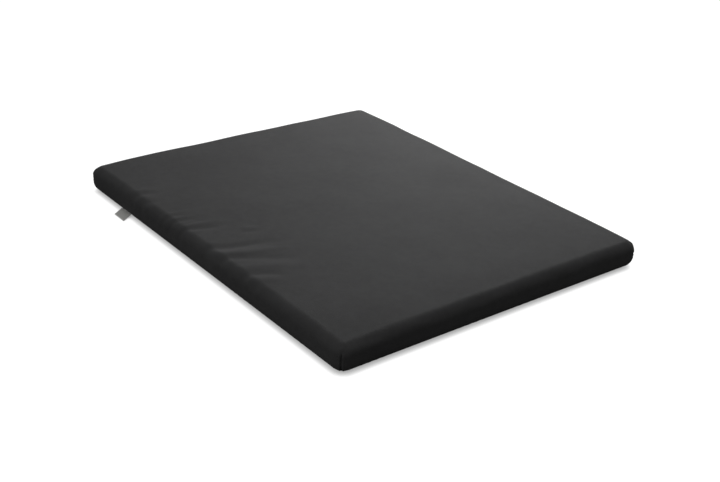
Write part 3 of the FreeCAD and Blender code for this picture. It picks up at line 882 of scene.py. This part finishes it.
ZIP_METAL = PaintedFinish(
    "black_lacquered_metal", (0.013, 0.013, 0.014), (0.13, 0.125, 0.12), 0.30, 0.12, 0.00005,
    metallic=0.2, coat=0.35, wear=0.45,
)


# ---------------------------------------------------------------- pieces

def piece_from(name: str, points: np.ndarray, faces: np.ndarray, thickness: float = 0.0) -> bpy.types.Object:
    """Make a piece from points and faces.

    Args:
        name: its name.
        points: points in the frame, in metres.
        faces: faces as rows of point numbers.
        thickness: how far the surface is thickened inwards, or 0 for a closed one.

    Returns:
        The new object, smoothly shaded and linked to the scene.
    """
    mesh = bpy.data.meshes.new(name)
    mesh.from_pydata(points.tolist(), [], faces.tolist())
    mesh.validate()
    mesh.polygons.foreach_set("use_smooth", [True] * len(mesh.polygons))
    mesh.update()
    piece = bpy.data.objects.new(name, mesh)
    bpy.context.scene.collection.objects.link(piece)
    if thickness:
        solid = piece.modifiers.new("cloth_thickness", "SOLIDIFY")
        solid.thickness = thickness
        solid.offset = -1.0
        solid.use_even_offset = False
        solid.use_rim = True
    return piece


def dressed(
    piece: bpy.types.Object, material: bpy.types.Material, body: str, slot: str, *nodes: str
) -> bpy.types.Object:
    """Give a piece its material and its place in the frame.

    Args:
        piece: the piece.
        material: its finish.
        body: the body that it moves with.
        slot: the name of its material slot; not used.
        nodes: the CAD nodes that it stands for.

    Returns:
        The piece.
    """
    piece.data.materials.clear()
    piece.data.materials.append(material)
    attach(piece, body)
    if nodes:
        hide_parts(*nodes)
    log.info("%s: %d faces, rides on %s", piece.name, len(piece.data.polygons), body)
    return piece


@dataclass(frozen=True)
class StitchRow:
    """Row of separate stitches along a sewn line."""

    length: float = 3.0 * MM
    gap: float = 0.8 * MM
    radius: float = 0.24 * MM
    sides: int = 6
    lift: float = 0.05 * MM
    sink: float = 0.45 * MM
    stations: tuple[float, ...] = (0.0, 0.12, 0.5, 0.88, 1.0)
    taper: tuple[float, ...] = (0.5, 0.95, 1.0, 0.95, 0.5)

    def mesh(self, line: np.ndarray, away: np.ndarray) -> tuple[np.ndarray, np.ndarray]:
        """Points and faces of the stitches.

        Args:
            line: points of the sewn line, in order.
            away: direction off the cloth at each of them.

        Returns:
            Points, and faces as rows of four point numbers.
        """
        travelled = np.concatenate([[0.0], np.cumsum(np.linalg.norm(np.diff(line, axis=0), axis=1))])
        count = max(1, int((travelled[-1] - self.length) / (self.length + self.gap)) + 1)
        spare = travelled[-1] - count * self.length - (count - 1) * self.gap
        starts = spare / 2 + np.arange(count) * (self.length + self.gap)
        places = starts[:, None] + np.array(self.stations) * self.length

        def along(values: np.ndarray, at: np.ndarray) -> np.ndarray:
            """Values of the line at distances along it."""
            return np.stack([np.interp(at, travelled, values[:, k]) for k in range(3)], axis=-1)

        step = 0.2 * MM
        centre = along(line, places)
        tangent = along(line, places + step) - along(line, places - step)
        tangent /= np.maximum(np.linalg.norm(tangent, axis=-1, keepdims=True), 1e-12)
        out = along(away, places)
        out -= tangent * (out * tangent).sum(axis=-1, keepdims=True)
        out /= np.maximum(np.linalg.norm(out, axis=-1, keepdims=True), 1e-12)
        across = np.cross(tangent, out)
        arch = np.sin(math.pi * np.array(self.stations)) ** 0.5
        centre += out * (self.lift - self.sink * (1 - arch))[:, None]
        angle = np.arange(self.sides) * math.tau / self.sides
        ring = out[..., None, :] * np.cos(angle)[:, None] + across[..., None, :] * np.sin(angle)[:, None]
        points = centre[..., None, :] + ring * (self.radius * np.array(self.taper))[:, None, None]
        stations = len(self.stations)
        number = np.arange(count * stations * self.sides).reshape(count, stations, self.sides)
        here, beside = number, np.roll(number, -1, axis=2)
        faces = np.stack([here[:, :-1], beside[:, :-1], beside[:, 1:], here[:, 1:]], axis=-1)
        walls = faces.reshape(-1, 4)
        ends = []
        for k, order in ((0, (0, 5, 4, 3, 0, 3, 2, 1)), (stations - 1, (0, 1, 2, 3, 0, 3, 4, 5))):
            ends.append(number[:, k][:, order[:4]])
            ends.append(number[:, k][:, order[4:]])
        return points.reshape(-1, 3), np.concatenate([walls, *ends])


@dataclass
class Layer:
    """What every layer of the mattress shares: the outline, the lattice and the relief of the cover."""

    outline: Outline = Outline()
    lattice: Lattice = Lattice()
    relief: Relief = Relief()
    effects: Effects = field(default_factory=Effects)
    slack: float = 0.0

    def shaped_skin(self, slab: Slab, keep: Callable[[np.ndarray], np.ndarray] | None = None) -> Skin:
        """Surface of a slab with the relief on it.

        Args:
            slab: the slab.
            keep: takes middle points of faces and says which faces stay.

        Returns:
            The surface, with the slab's own plain normals.
        """
        skin = slab.skin()
        if keep is not None:
            skin = skin.kept(keep(skin.face_middles()))
        skin.points = self.relief.shaped(skin.points, skin.normals, self.slack)
        return skin

    def ring_line(self, slab: Slab, height: float) -> tuple[np.ndarray, np.ndarray]:
        """The line round a slab at a height, with the relief on it, and its normals."""
        points, normals = slab.ring(slab.outline.row_at(height))
        return self.relief.shaped(points, normals, self.slack), normals


@dataclass
class Cover(Layer):
    """The fitted cover: the top with its four sides, the low strip under the zip, and the base."""

    thickness: float = 1.0 * MM
    seam_level: float = 0.006
    seam_gap: float = 0.15 * MM
    zip_level: float = 0.042
    zip_half: float = 0.547
    opening_half: float = 0.006
    dart_top: float = 0.058
    side_depth: float = 0.1003
    rear_depth: float = 0.060
    strip_depth: float = 0.0363
    seam_setback: float = 0.0134
    thread: StitchRow = StitchRow()
    dart_thread: StitchRow = StitchRow(2.6 * MM, 0.7 * MM, 0.26 * MM)
    top_stitch: StitchRow = StitchRow(2.9 * MM, 0.9 * MM, 0.25 * MM, lift=0.22 * MM)

    wall_levels: tuple[float, ...] = (
        52.0, 51.4, 50.75, 50.1, 49.2, 48.4, 48.0, 46.0, 43.6, 42.7, 42.0,
        41.3, 40.4, 38.0, 36.0, 35.6, 34.8, 33.9, 33.25, 32.6, 32.0,
    )

    def side_rows(self) -> tuple[Row, ...]:
        """Rows from the flat of the top down to the base seam."""
        outline = self.outline
        top = [Row(Band.TOP_ROUNDING, turn) for turn in np.linspace(0, RIGHT_ANGLE, 12)[:-1]]
        wall = [Row(Band.WALL, level * MM) for level in self.wall_levels]
        seam_turn = outline.row_at(self.seam_level).place - self.seam_gap / outline.base_rounding
        shares = (0.10, 0.22, 0.35, 0.48, 0.60, 0.71, 0.81, 0.89, 0.95, 1.0)
        base = [Row(Band.BASE_ROUNDING, seam_turn * share) for share in shares]
        return tuple(top + wall + base)

    def base_rows(self) -> tuple[Row, ...]:
        """Rows from the base seam to the flat of the underside."""
        seam_turn = self.outline.row_at(self.seam_level).place + self.seam_gap / self.outline.base_rounding
        shares = (0.0, 0.06, 0.14, 0.26, 0.45, 0.70, 1.0)
        turn_left = RIGHT_ANGLE - seam_turn
        return tuple(Row(Band.BASE_ROUNDING, seam_turn + turn_left * share) for share in shares)

    def on_rear(self, middles: np.ndarray) -> np.ndarray:
        """Whether places are on the rear side, between its two corner seams."""
        past_x = np.abs(middles[:, 0]) - (self.outline.half_length - self.outline.corner)
        past_y = middles[:, 1] - (self.outline.half_width - self.outline.corner)
        return (past_y > 0) & (past_y > past_x) & (middles[:, 2] < self.dart_top)

    def top_keeps(self, middles: np.ndarray) -> np.ndarray:
        """Faces of the top panel: all of the sides but the rear one below the zip."""
        floor = np.where(
            np.abs(middles[:, 0]) < self.zip_half, self.zip_level + self.opening_half, self.zip_level
        )
        return ~(self.on_rear(middles) & (middles[:, 2] < floor))

    def strip_keeps(self, middles: np.ndarray) -> np.ndarray:
        """Faces of the strip under the zip."""
        roof = np.where(
            np.abs(middles[:, 0]) < self.zip_half, self.zip_level - self.opening_half, self.zip_level
        )
        return self.on_rear(middles) & (middles[:, 2] < roof)

    def build(self) -> None:
        """Make and dress the panels and their sewn lines."""
        cloth = COVER_CLOTH.material(self.effects)
        thread = THREAD.material(self.effects)
        sides = Slab(self.outline, self.lattice, self.side_rows(), base=False)

        top = self.shaped_skin(sides, self.top_keeps)
        panel = piece_from("cover_top_panel", top.points, top.faces, self.thickness)
        dressed(panel, cloth, "mattress", "cover_fabric", "cover_top")

        strip = self.shaped_skin(sides, self.strip_keeps)
        rear = piece_from("cover_rear_panel", strip.points, strip.faces, self.thickness)
        dressed(rear, cloth, "mattress", "cover_fabric", "cover_rear_strip")

        under = Slab(self.outline, self.lattice, self.base_rows(), top=False)
        base = self.shaped_skin(under)
        floor_panel = piece_from("cover_base_panel", base.points, base.faces, self.thickness)
        dressed(floor_panel, cloth, "mattress", "cover_fabric", "cover_base")

        self.sew(thread, sides)

    def sew(self, thread: bpy.types.Material, sides: Slab) -> None:
        """Make the sewn lines of the base seam, the corners, the rear seam and the zip's opening.

        Args:
            thread: finish of the thread.
            sides: the slab that the panels were cut from.
        """
        line, away = self.ring_line(sides, self.seam_level)
        closed = np.concatenate([line, line[:1]])
        points, faces = self.thread.mesh(closed, np.concatenate([away, away[:1]]))
        dressed(
            piece_from("base_seam_stitches", points, faces),
            thread, "mattress", "sewing_thread", "base_seam_thread",
        )

        for name, across, along in (
            ("front_left", -1, -1), ("front_right", 1, -1), ("rear_right", 1, 1), ("rear_left", -1, 1)
        ):
            points, faces = self.dart_thread.mesh(*self.dart_line(across, along))
            stitches = piece_from(f"corner_stitches_{name}", points, faces)
            dressed(stitches, thread, "mattress", "sewing_thread", f"corner_seam_thread_{name}")

        line, away = self.ring_line(sides, self.zip_level)
        meshes = []
        for side in (-1, 1):
            beyond = (line[:, 1] > 0) & (line[:, 0] * side > self.zip_half) & (line[:, 0] * side < 0.5895)
            meshes.append(self.thread.mesh(line[beyond], away[beyond]))
        points, faces = joined(meshes)
        stitches = piece_from("rear_seam_stitches", points, faces)
        dressed(stitches, thread, "mattress", "sewing_thread", "rear_seam_thread")

        for name, level in (("upper", 0.05075), ("lower", 0.03325)):
            line, away = self.ring_line(sides, level)
            here = (line[:, 1] > 0) & (np.abs(line[:, 0]) < self.zip_half)
            here &= line[:, 1] > self.outline.half_width - 0.004
            points, faces = self.top_stitch.mesh(line[here], away[here])
            stitches = piece_from(f"zip_stitches_{name}", points, faces)
            dressed(stitches, thread, "mattress", "sewing_thread", f"zip_stitching_{name}")

    def dart_line(self, across: int, along: int) -> tuple[np.ndarray, np.ndarray]:
        """The sewn line of one corner, from its foot to its top, and the directions off the cloth.

        Args:
            across: 1 for the +X corners, -1 for the others.
            along: 1 for the +Y corners, -1 for the others.

        Returns:
            Points and directions.
        """
        way = np.array([across, along]) / math.sqrt(2)
        centre = np.array([across, along]) * np.array(
            [self.outline.half_length - self.outline.corner, self.outline.half_width - self.outline.corner]
        )
        points, normals = [], []
        for height in np.linspace(self.seam_level + 0.0005, self.dart_top, 60):
            out, level, normal_out, normal_up = self.outline.section(self.outline.row_at(height))
            points.append([*(centre + way * out), level])
            normals.append([*(way * normal_out), normal_up])
        line, away = np.array(points), np.array(normals)
        return self.relief.shaped(line, away), away


def joined(meshes: Sequence[tuple[np.ndarray, np.ndarray]]) -> tuple[np.ndarray, np.ndarray]:
    """Points and faces of several meshes as one."""
    starts = np.cumsum([0] + [len(points) for points, _ in meshes[:-1]])
    points = np.concatenate([p for p, _ in meshes])
    return points, np.concatenate([f + s for (_, f), s in zip(meshes, starts)])


@dataclass
class Filling(Layer):
    """What is inside the cover: the two halves of the casing, two felts and the foam core."""

    casing_inset: float = 1.3 * MM
    casing_thickness: float = 0.6 * MM
    filling_inset: float = 2.2 * MM
    rear_ease: float = 2.6 * MM
    casing_seam: float = 0.040
    seam_gap: float = 0.1 * MM
    slack: float = 0.4
    core_low: float = 0.015
    core_high: float = 0.065
    felt_low: tuple[float, float] = (0.0022, 0.0147)
    felt_high: tuple[float, float] = (0.0653, 0.0778)
    side_depth: float = 0.042
    thread: StitchRow = StitchRow(3.2 * MM, 0.9 * MM, 0.22 * MM)

    def rows_between(self, outline: Outline, high: float, low: float, step: float = 0.003) -> tuple[Row, ...]:
        """Rows of a layer's side from a height down to another."""
        heights = [high]
        for level in (outline.high - outline.top_rounding, outline.low + outline.base_rounding):
            if low + 1e-6 < level < high - 1e-6:
                heights.append(level)
        heights.append(low)
        rows = [outline.row_at(high)]
        for upper, lower in zip(heights, heights[1:]):
            if upper > outline.high - outline.top_rounding + 1e-9:
                first, last = outline.row_at(upper).place, outline.row_at(lower + 1e-9).place
                count = max(1, math.ceil((last - first) * outline.top_rounding / step))
                rows += [Row(Band.TOP_ROUNDING, turn) for turn in np.linspace(first, last, count + 1)[1:]]
            elif upper > outline.low + outline.base_rounding + 1e-9:
                count = max(1, math.ceil((upper - lower) / step))
                rows += [Row(Band.WALL, level) for level in np.linspace(upper, lower, count + 1)[1:]]
            else:
                above_rounding = upper >= outline.low + outline.base_rounding - 1e-9
                first = 0.0 if above_rounding else outline.row_at(upper).place
                last = outline.row_at(lower).place
                count = max(1, math.ceil((last - first) * outline.base_rounding / step))
                rows += [Row(Band.BASE_ROUNDING, turn) for turn in np.linspace(first, last, count + 1)[1:]]
        return tuple(rows)

    def build(self) -> None:
        """Make and dress the casing and what it holds."""
        self.build_casing()
        self.build_pads()

    def build_casing(self) -> None:
        """The two halves of the casing and the seam between them."""
        cloth = CASING_CLOTH.material(self.effects)
        outline = self.outline.inside(self.casing_inset, self.rear_ease)
        for name, high, low, cap in (
            ("upper", outline.high, self.casing_seam + self.seam_gap / 2, "top"),
            ("lower", self.casing_seam - self.seam_gap / 2, outline.low, "base"),
        ):
            rows = self.rows_between(outline, high, low)
            skin = self.shaped_skin(Slab(outline, self.lattice, rows, top=cap == "top", base=cap == "base"))
            half = piece_from(f"casing_{name}_half", skin.points, skin.faces, self.casing_thickness)
            dressed(half, cloth, "mattress", "casing_fabric", f"casing_{name}")
        slab = Slab(outline, self.lattice, (outline.row_at(self.casing_seam),))
        line, away = self.ring_line(slab, self.casing_seam)
        closed = np.concatenate([line, line[:1]])
        points, faces = self.thread.mesh(closed, np.concatenate([away, away[:1]]))
        stitches = piece_from("casing_seam_stitches", points, faces)
        dressed(
            stitches, PALE_THREAD.material(self.effects), "mattress", "sewing_thread", "casing_seam_thread"
        )

    def build_pads(self) -> None:
        """The foam core with a cotton felt above and below it."""
        outline = self.outline.inside(self.filling_inset, self.rear_ease)
        felt, foam = FELT.material(self.effects), FOAM.material(self.effects)
        for name, levels, material, slot, node, fill in (
            ("felt_pad_upper", self.felt_high, felt, "cotton_felt", "cotton_felt_upper", 0.6),
            ("foam_core_block", (self.core_low, self.core_high), foam, "foam", "foam_core", 0.9),
            ("felt_pad_lower", self.felt_low, felt, "cotton_felt", "cotton_felt_lower", 0.6),
        ):
            low, high = levels
            rows = self.rows_between(outline, high, low)
            slab = Slab(outline, self.lattice, rows)
            skin = slab.skin()
            skin.points = self.pressed(skin, outline, low, high)
            pad = piece_from(name, skin.points, skin.faces)
            dressed(pad, material, "mattress", slot, node)

    def pressed(self, skin: Skin, outline: Outline, low: float, high: float) -> np.ndarray:
        """A pad's points with the cover's relief, which fades out across the flat faces where pads meet.

        Args:
            skin: the pad's plain surface.
            outline: the outline of the whole filling.
            low: level of the pad's underside.
            high: level of its top.

        Returns:
            The moved points.
        """
        moved = self.relief.shaped(skin.points, skin.normals, self.slack)
        reach_x = outline.half_length - outline.corner
        reach_y = outline.half_width - outline.corner
        flat = np.abs(skin.normals[:, 2]) > 0.999
        for level in (low, high):
            if level in (self.felt_low[0], self.felt_high[1]):
                continue
            cut = flat & (np.abs(skin.points[:, 2] - level) < 1e-6)
            spots = skin.points[cut, :2]
            centre = np.column_stack(
                [
                    np.clip(spots[:, 0], -reach_x, reach_x),
                    np.clip(spots[:, 1], -reach_y, reach_y - self.rear_ease),
                ]
            )
            away = np.linalg.norm(spots - centre, axis=1)
            way = (spots - centre) / np.maximum(away, 1e-9)[:, None]
            out, _, normal_out, normal_up = outline.section(outline.row_at(level))
            count = len(spots)
            edge = np.column_stack([centre + way * out, np.full(count, level)])
            edge_normals = np.column_stack([way * normal_out, np.full(count, normal_up)])
            heights = self.relief.heights(edge, edge_normals, self.slack) * (away / out) ** 2
            moved[cut] = skin.points[cut] + edge_normals * heights[:, None]
        return moved


@dataclass
class Zip(Layer):
    """The coil zip in the rear side: two tapes, two coil rows, the stops, the slider and its puller."""

    level: float = 0.042
    tape_inset: float = 1.1 * MM
    tape_thickness: float = 0.6 * MM
    tape_near: float = 1.3 * MM
    tape_far: float = 16.0 * MM
    tape_half: float = 0.554
    coil_half: float = 0.540
    coil_reach: float = 3.0 * MM
    coil_face: float = 0.4989
    coil_depth: float = 2.2 * MM
    parting_start: float = 0.5356
    parting: float = 1.3 * MM
    pitch: float = 1.5 * MM
    wire: float = 0.26 * MM
    head: float = 0.45 * MM
    steps: int = 12
    wire_sides: int = 5

    def tape(self, side: int) -> Skin:
        """One tape, which follows the inside of the rear side.

        Args:
            side: 1 above the coils, -1 below them.

        Returns:
            Its surface, with a slightly ribbed edge beside the coil.
        """
        outline = self.outline.inside(self.tape_inset)
        reach = np.concatenate(
            [np.linspace(self.tape_near, 4.5 * MM, 8), np.linspace(5.5 * MM, self.tape_far, 9)]
        )
        along = np.linspace(-self.tape_half, self.tape_half, 555)
        points, normals = [], []
        centre = self.outline.half_width - self.outline.corner
        for away in reach:
            row = outline.row_at(self.level + side * away)
            out, height, normal_out, normal_up = outline.section(row)
            rib = -0.05 * MM * (1 + math.cos(away * math.tau / (1.1 * MM))) * (away > 4 * MM)
            y = np.full(len(along), centre + out + rib * normal_out)
            points.append(np.column_stack([along, y, np.full(len(along), height + rib * normal_up)]))
            normals.append(np.tile([0.0, normal_out, normal_up], (len(along), 1)))
        count = len(along)
        squares = np.meshgrid(np.arange(len(reach) - 1), np.arange(count - 1), indexing="ij")
        row, column = (places.ravel() for places in squares)
        start = row * count + column
        quads = np.stack([start, start + count, start + count + 1, start + 1], axis=1)
        quads = quads if side > 0 else quads[:, ::-1]
        return Skin(np.concatenate(points), np.concatenate(normals), quads)

    def coil(self, side: int) -> tuple[np.ndarray, np.ndarray]:
        """One row of the coil: a flattened helix whose heads meet the other row's between its turns.

        Args:
            side: 1 for the upper row, -1 for the lower one.

        Returns:
            Points, and faces as rows of four point numbers.
        """
        turns = int(2 * self.coil_half / self.pitch) - 1
        share = np.arange(turns * self.steps + 1) / self.steps
        angle = share * math.tau
        span = (2 * self.coil_half - self.pitch) / turns
        x = -self.coil_half + self.pitch / 2 + share * span + (self.pitch / 2 if side > 0 else 0.0)
        x = np.minimum(x, self.coil_half - self.wire)
        inner = np.where(x > self.parting_start, self.parting + self.wire, -self.head + self.wire)
        outer = self.coil_reach - self.wire
        swing = np.sign(np.cos(angle)) * np.abs(np.cos(angle)) ** 0.7
        z = self.level + side * ((inner + outer) / 2 - swing * (outer - inner) / 2)
        depth = self.coil_depth / 2 - self.wire
        lift = np.sign(np.sin(angle)) * np.abs(np.sin(angle)) ** 0.8
        y = self.coil_face + self.coil_depth / 2 + lift * depth
        line = np.column_stack([x, y, z])
        tangent = np.gradient(line, axis=0)
        tangent /= np.linalg.norm(tangent, axis=1, keepdims=True)
        side_way = np.cross(tangent, np.array([1.0, 0.0, 0.0]))
        side_way /= np.maximum(np.linalg.norm(side_way, axis=1, keepdims=True), 1e-9)
        other = np.cross(tangent, side_way)
        turn = np.arange(self.wire_sides) * math.tau / self.wire_sides
        ring = side_way[:, None] * np.cos(turn)[:, None] + other[:, None] * np.sin(turn)[:, None]
        points = (line[:, None] + ring * self.wire).reshape(-1, 3)
        number = np.arange(len(line) * self.wire_sides).reshape(len(line), self.wire_sides)
        beside = np.roll(number, -1, axis=1)
        faces = np.stack([number[:-1], beside[:-1], beside[1:], number[1:]], axis=-1).reshape(-1, 4)
        return points, faces

    def build(self) -> None:
        """Make and dress the tapes and coils, and dress the metal parts of the frame."""
        cloth = ZIP_TAPE_CLOTH.material(self.effects)
        plastic = COIL_PLASTIC.material(self.effects)
        for name, side in (("upper", 1), ("lower", -1)):
            skin = self.tape(side)
            tape = piece_from(f"zip_tape_{name}_half", skin.points, skin.faces, self.tape_thickness)
            dressed(tape, cloth, "mattress", "zip_tape", f"zip_tape_{name}")
            points, faces = self.coil(side)
            coil = piece_from(f"zip_coil_{name}_row", points, faces)
            dressed(coil, plastic, "mattress", "zip_coil", f"zip_coil_{name}")
        stop_metal, zip_metal = STOP_METAL.material(self.effects), ZIP_METAL.material(self.effects)
        for node, material in (
            ("zip_top_stops", stop_metal), ("zip_bottom_stop", stop_metal),
            ("zip_slider_body", zip_metal), ("zip_puller", zip_metal),
        ):
            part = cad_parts[node]
            part.data.materials.clear()
            part.data.materials.append(material)
            log.info("%s: kept from the frame, in %s", node, material.name)


@dataclass
class Label:
    """Woven loop label: a ribbon folded at its tip, with both ends in the base seam."""

    effects: Effects
    root: Triple = (-0.400, -0.48703, 0.00539)
    width: float = 0.052
    length: float = 0.033
    shear: float = 0.018
    drop: float = math.radians(8.08)
    ply: float = 0.35 * MM
    loop_gap: float = 0.2 * MM
    wave: float = 0.45 * MM

    def skin(self) -> Skin:
        """The ribbon's middle surface, from one end round the fold to the other."""
        half_gap = (self.loop_gap + self.ply) / 2
        reach = self.length - self.ply / 2 - half_gap
        runs = np.linspace(0.0, 1.0, 24) * reach
        turn = np.linspace(0.0, math.pi, 9)[1:-1]
        out = np.concatenate([runs, reach + half_gap * np.sin(turn), runs[::-1]])
        up = np.concatenate(
            [np.full(len(runs), half_gap), half_gap * np.cos(turn), np.full(len(runs), -half_gap)]
        )
        across = np.linspace(-0.5, 0.5, 37)
        along_x = Vector((self.shear / self.length, 0.0, 0.0))
        down = Vector((0.0, -math.cos(self.drop), -math.sin(self.drop))) + along_x
        lift = Vector((0.0, -math.sin(self.drop), math.cos(self.drop)))
        grid_out, grid_across = np.meshgrid(out, across, indexing="ij")
        grid_up = np.repeat(up[:, None], len(across), axis=1)
        share = grid_out / self.length
        sway = 0.5 + 0.5 * np.sin(grid_across * 5.2 + share * 1.9 + 0.6)
        grid_up = grid_up + self.wave * sway * share**1.5 * 1.6 + 0.25 * MM * np.sin(share * math.pi)
        points = (
            np.array(self.root)
            + grid_across[..., None] * np.array([self.width, 0.0, 0.0])
            + grid_out[..., None] * np.array(down)
            + grid_up[..., None] * np.array(lift)
        )
        rows, columns = grid_out.shape
        i, j = (a.ravel() for a in np.meshgrid(np.arange(rows - 1), np.arange(columns - 1), indexing="ij"))
        start = i * columns + j
        quads = np.stack([start, start + columns, start + columns + 1, start + 1], axis=1)
        flat = points.reshape(-1, 3)
        return Skin(flat, np.tile([0.0, 0.0, 1.0], (len(flat), 1)), quads)

    def build(self) -> None:
        """Make and dress the label."""
        skin = self.skin()
        label = piece_from("folded_label", skin.points, skin.faces)
        solid = label.modifiers.new("ribbon_thickness", "SOLIDIFY")
        solid.thickness = self.ply
        solid.offset = 0.0
        dressed(label, LABEL_RIBBON.material(self.effects), "label", "label_ribbon", "label")


# ---------------------------------------------------------------- studio

@dataclass(frozen=True)
class SoftLight:
    """A rectangular studio light that points at a spot."""

    name: str
    place: Triple
    target: Triple
    size: tuple[float, float]
    power: float
    spread: float = math.pi

    def put_up(self) -> None:
        """Add the light to the scene."""
        data = bpy.data.lights.new(self.name, "AREA")
        data.shape = "RECTANGLE"
        data.size, data.size_y = self.size
        data.energy = self.power
        data.spread = self.spread
        light = bpy.data.objects.new(self.name, data)
        light.location = self.place
        way = Vector(self.target) - Vector(self.place)
        light.rotation_euler = way.to_track_quat("-Z", "Y").to_euler()
        bpy.context.scene.collection.objects.link(light)


@dataclass(frozen=True)
class Studio:
    """Plain pale floor, soft light and the camera."""

    lights: tuple[SoftLight, ...] = (
        SoftLight("far_low_light", (-1.0, 1.5, 0.8), (-0.1, 0.1, 0.0), (1.3, 0.6), 9.0, math.radians(110)),
        SoftLight("overhead_light", (-0.2, 0.6, 1.7), (-0.1, 0.2, 0.0), (1.2, 1.2), 12.0),
        SoftLight("front_fill", (0.3, -2.4, 0.8), (0.0, -0.5, 0.05), (1.4, 1.0), 7.5),
    )
    ambient: float = 0.35
    floor_half: float = 14.0
    floor_shade: float = 0.12
    floor_glow: float = 1.02
    # Glow level and reach of the painted contact shadow that ambient occlusion puts on the floor.
    painted_shadow_glow: float = 0.38
    painted_shadow_reach: float = 0.016
    bounce_shade: float = 0.10
    eye: Triple = (2.234, -1.823, 1.378)
    right: Triple = (0.61629, 0.78552, 0.05600)
    up: Triple = (-0.37951, 0.23393, 0.89513)
    back: Triple = (0.69004, -0.57291, 0.44228)
    lens: float = 57.2
    sensor: float = 36.0

    def floor_finish(self) -> bpy.types.Material:
        """White floor that the camera sees bright, and that throws only a little light back up. Near the
        mattress its glow is dimmed by ambient occlusion: a painted contact shadow.
        """
        material = bpy.data.materials.new("pale_floor_painted_contact_shadow")
        material.use_nodes = True
        wiring = Wiring(material.node_tree)
        shader = material.node_tree.nodes["Principled BSDF"]
        shader.inputs["Roughness"].default_value = 1.0
        shader.inputs["Specular IOR Level"].default_value = 0.0
        path = wiring.node("ShaderNodeLightPath").outputs["Is Camera Ray"]
        low, high = opaque((self.bounce_shade,) * 3), opaque((self.floor_shade,) * 3)
        wiring.tree.links.new(wiring.mix(path, low, high), shader.inputs["Base Color"])
        shader.inputs["Emission Color"].default_value = (1.0, 1.0, 1.0, 1.0)
        # Ambient occlusion dims the glow that the camera sees near the mattress: a painted contact shadow.
        painted_shadow_openness = wiring.node("ShaderNodeAmbientOcclusion", {"Distance": self.painted_shadow_reach}).outputs["AO"]
        glow_with_painted_shadow = wiring.range(painted_shadow_openness, 0.15, 0.97, self.painted_shadow_glow, self.floor_glow)
        camera_glow_with_painted_shadow = wiring.math("MULTIPLY", path, glow_with_painted_shadow)
        wiring.tree.links.new(camera_glow_with_painted_shadow, shader.inputs["Emission Strength"])
        return material

    def set_up(self) -> None:
        """Add the floor, the world, the lights and the camera."""
        half = self.floor_half
        level = -0.0002
        signs = ((-1, -1), (1, -1), (1, 1), (-1, 1))
        corners = np.array([[x * half, y * half, level] for x, y in signs])
        floor = piece_from("studio_floor", corners, np.array([[0, 1, 2, 3]]))
        floor.data.materials.append(self.floor_finish())

        world = bpy.data.worlds.new("studio_air")
        world.use_nodes = True
        wiring = Wiring(world.node_tree)
        background = world.node_tree.nodes["Background"]
        background.inputs["Color"].default_value = (1.0, 1.0, 1.0, 1.0)
        path = wiring.node("ShaderNodeLightPath").outputs["Is Camera Ray"]
        strength = wiring.math("MULTIPLY_ADD", path, 1.2 - self.ambient, self.ambient)
        wiring.tree.links.new(strength, background.inputs["Strength"])
        bpy.context.scene.world = world

        for light in self.lights:
            light.put_up()

        data = bpy.data.cameras.new("studio_camera")
        data.lens = self.lens
        data.sensor_width = self.sensor
        camera = bpy.data.objects.new("studio_camera", data)
        axes = [Vector(axis) for axis in (self.right, self.up, self.back)]
        turn = Matrix(axes).transposed().to_4x4()
        camera.matrix_world = Matrix.Translation(Vector(self.eye)) @ turn
        bpy.context.scene.collection.objects.link(camera)
        bpy.context.scene.camera = camera
        bpy.context.scene.view_settings.view_transform = "Standard"


def main() -> None:
    """Build the layers from the outside in, then the label and the studio, and note the sizes."""
    logging.basicConfig(level=logging.INFO, format="%(name)s: %(message)s")
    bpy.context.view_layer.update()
    effects = Effects()
    for builder in (Cover(effects=effects), Filling(effects=effects), Zip(effects=effects), Label(effects)):
        log.info("building %s", type(builder).__name__)
        builder.build()
    Studio().set_up()


if __name__ == "__main__":
    main()
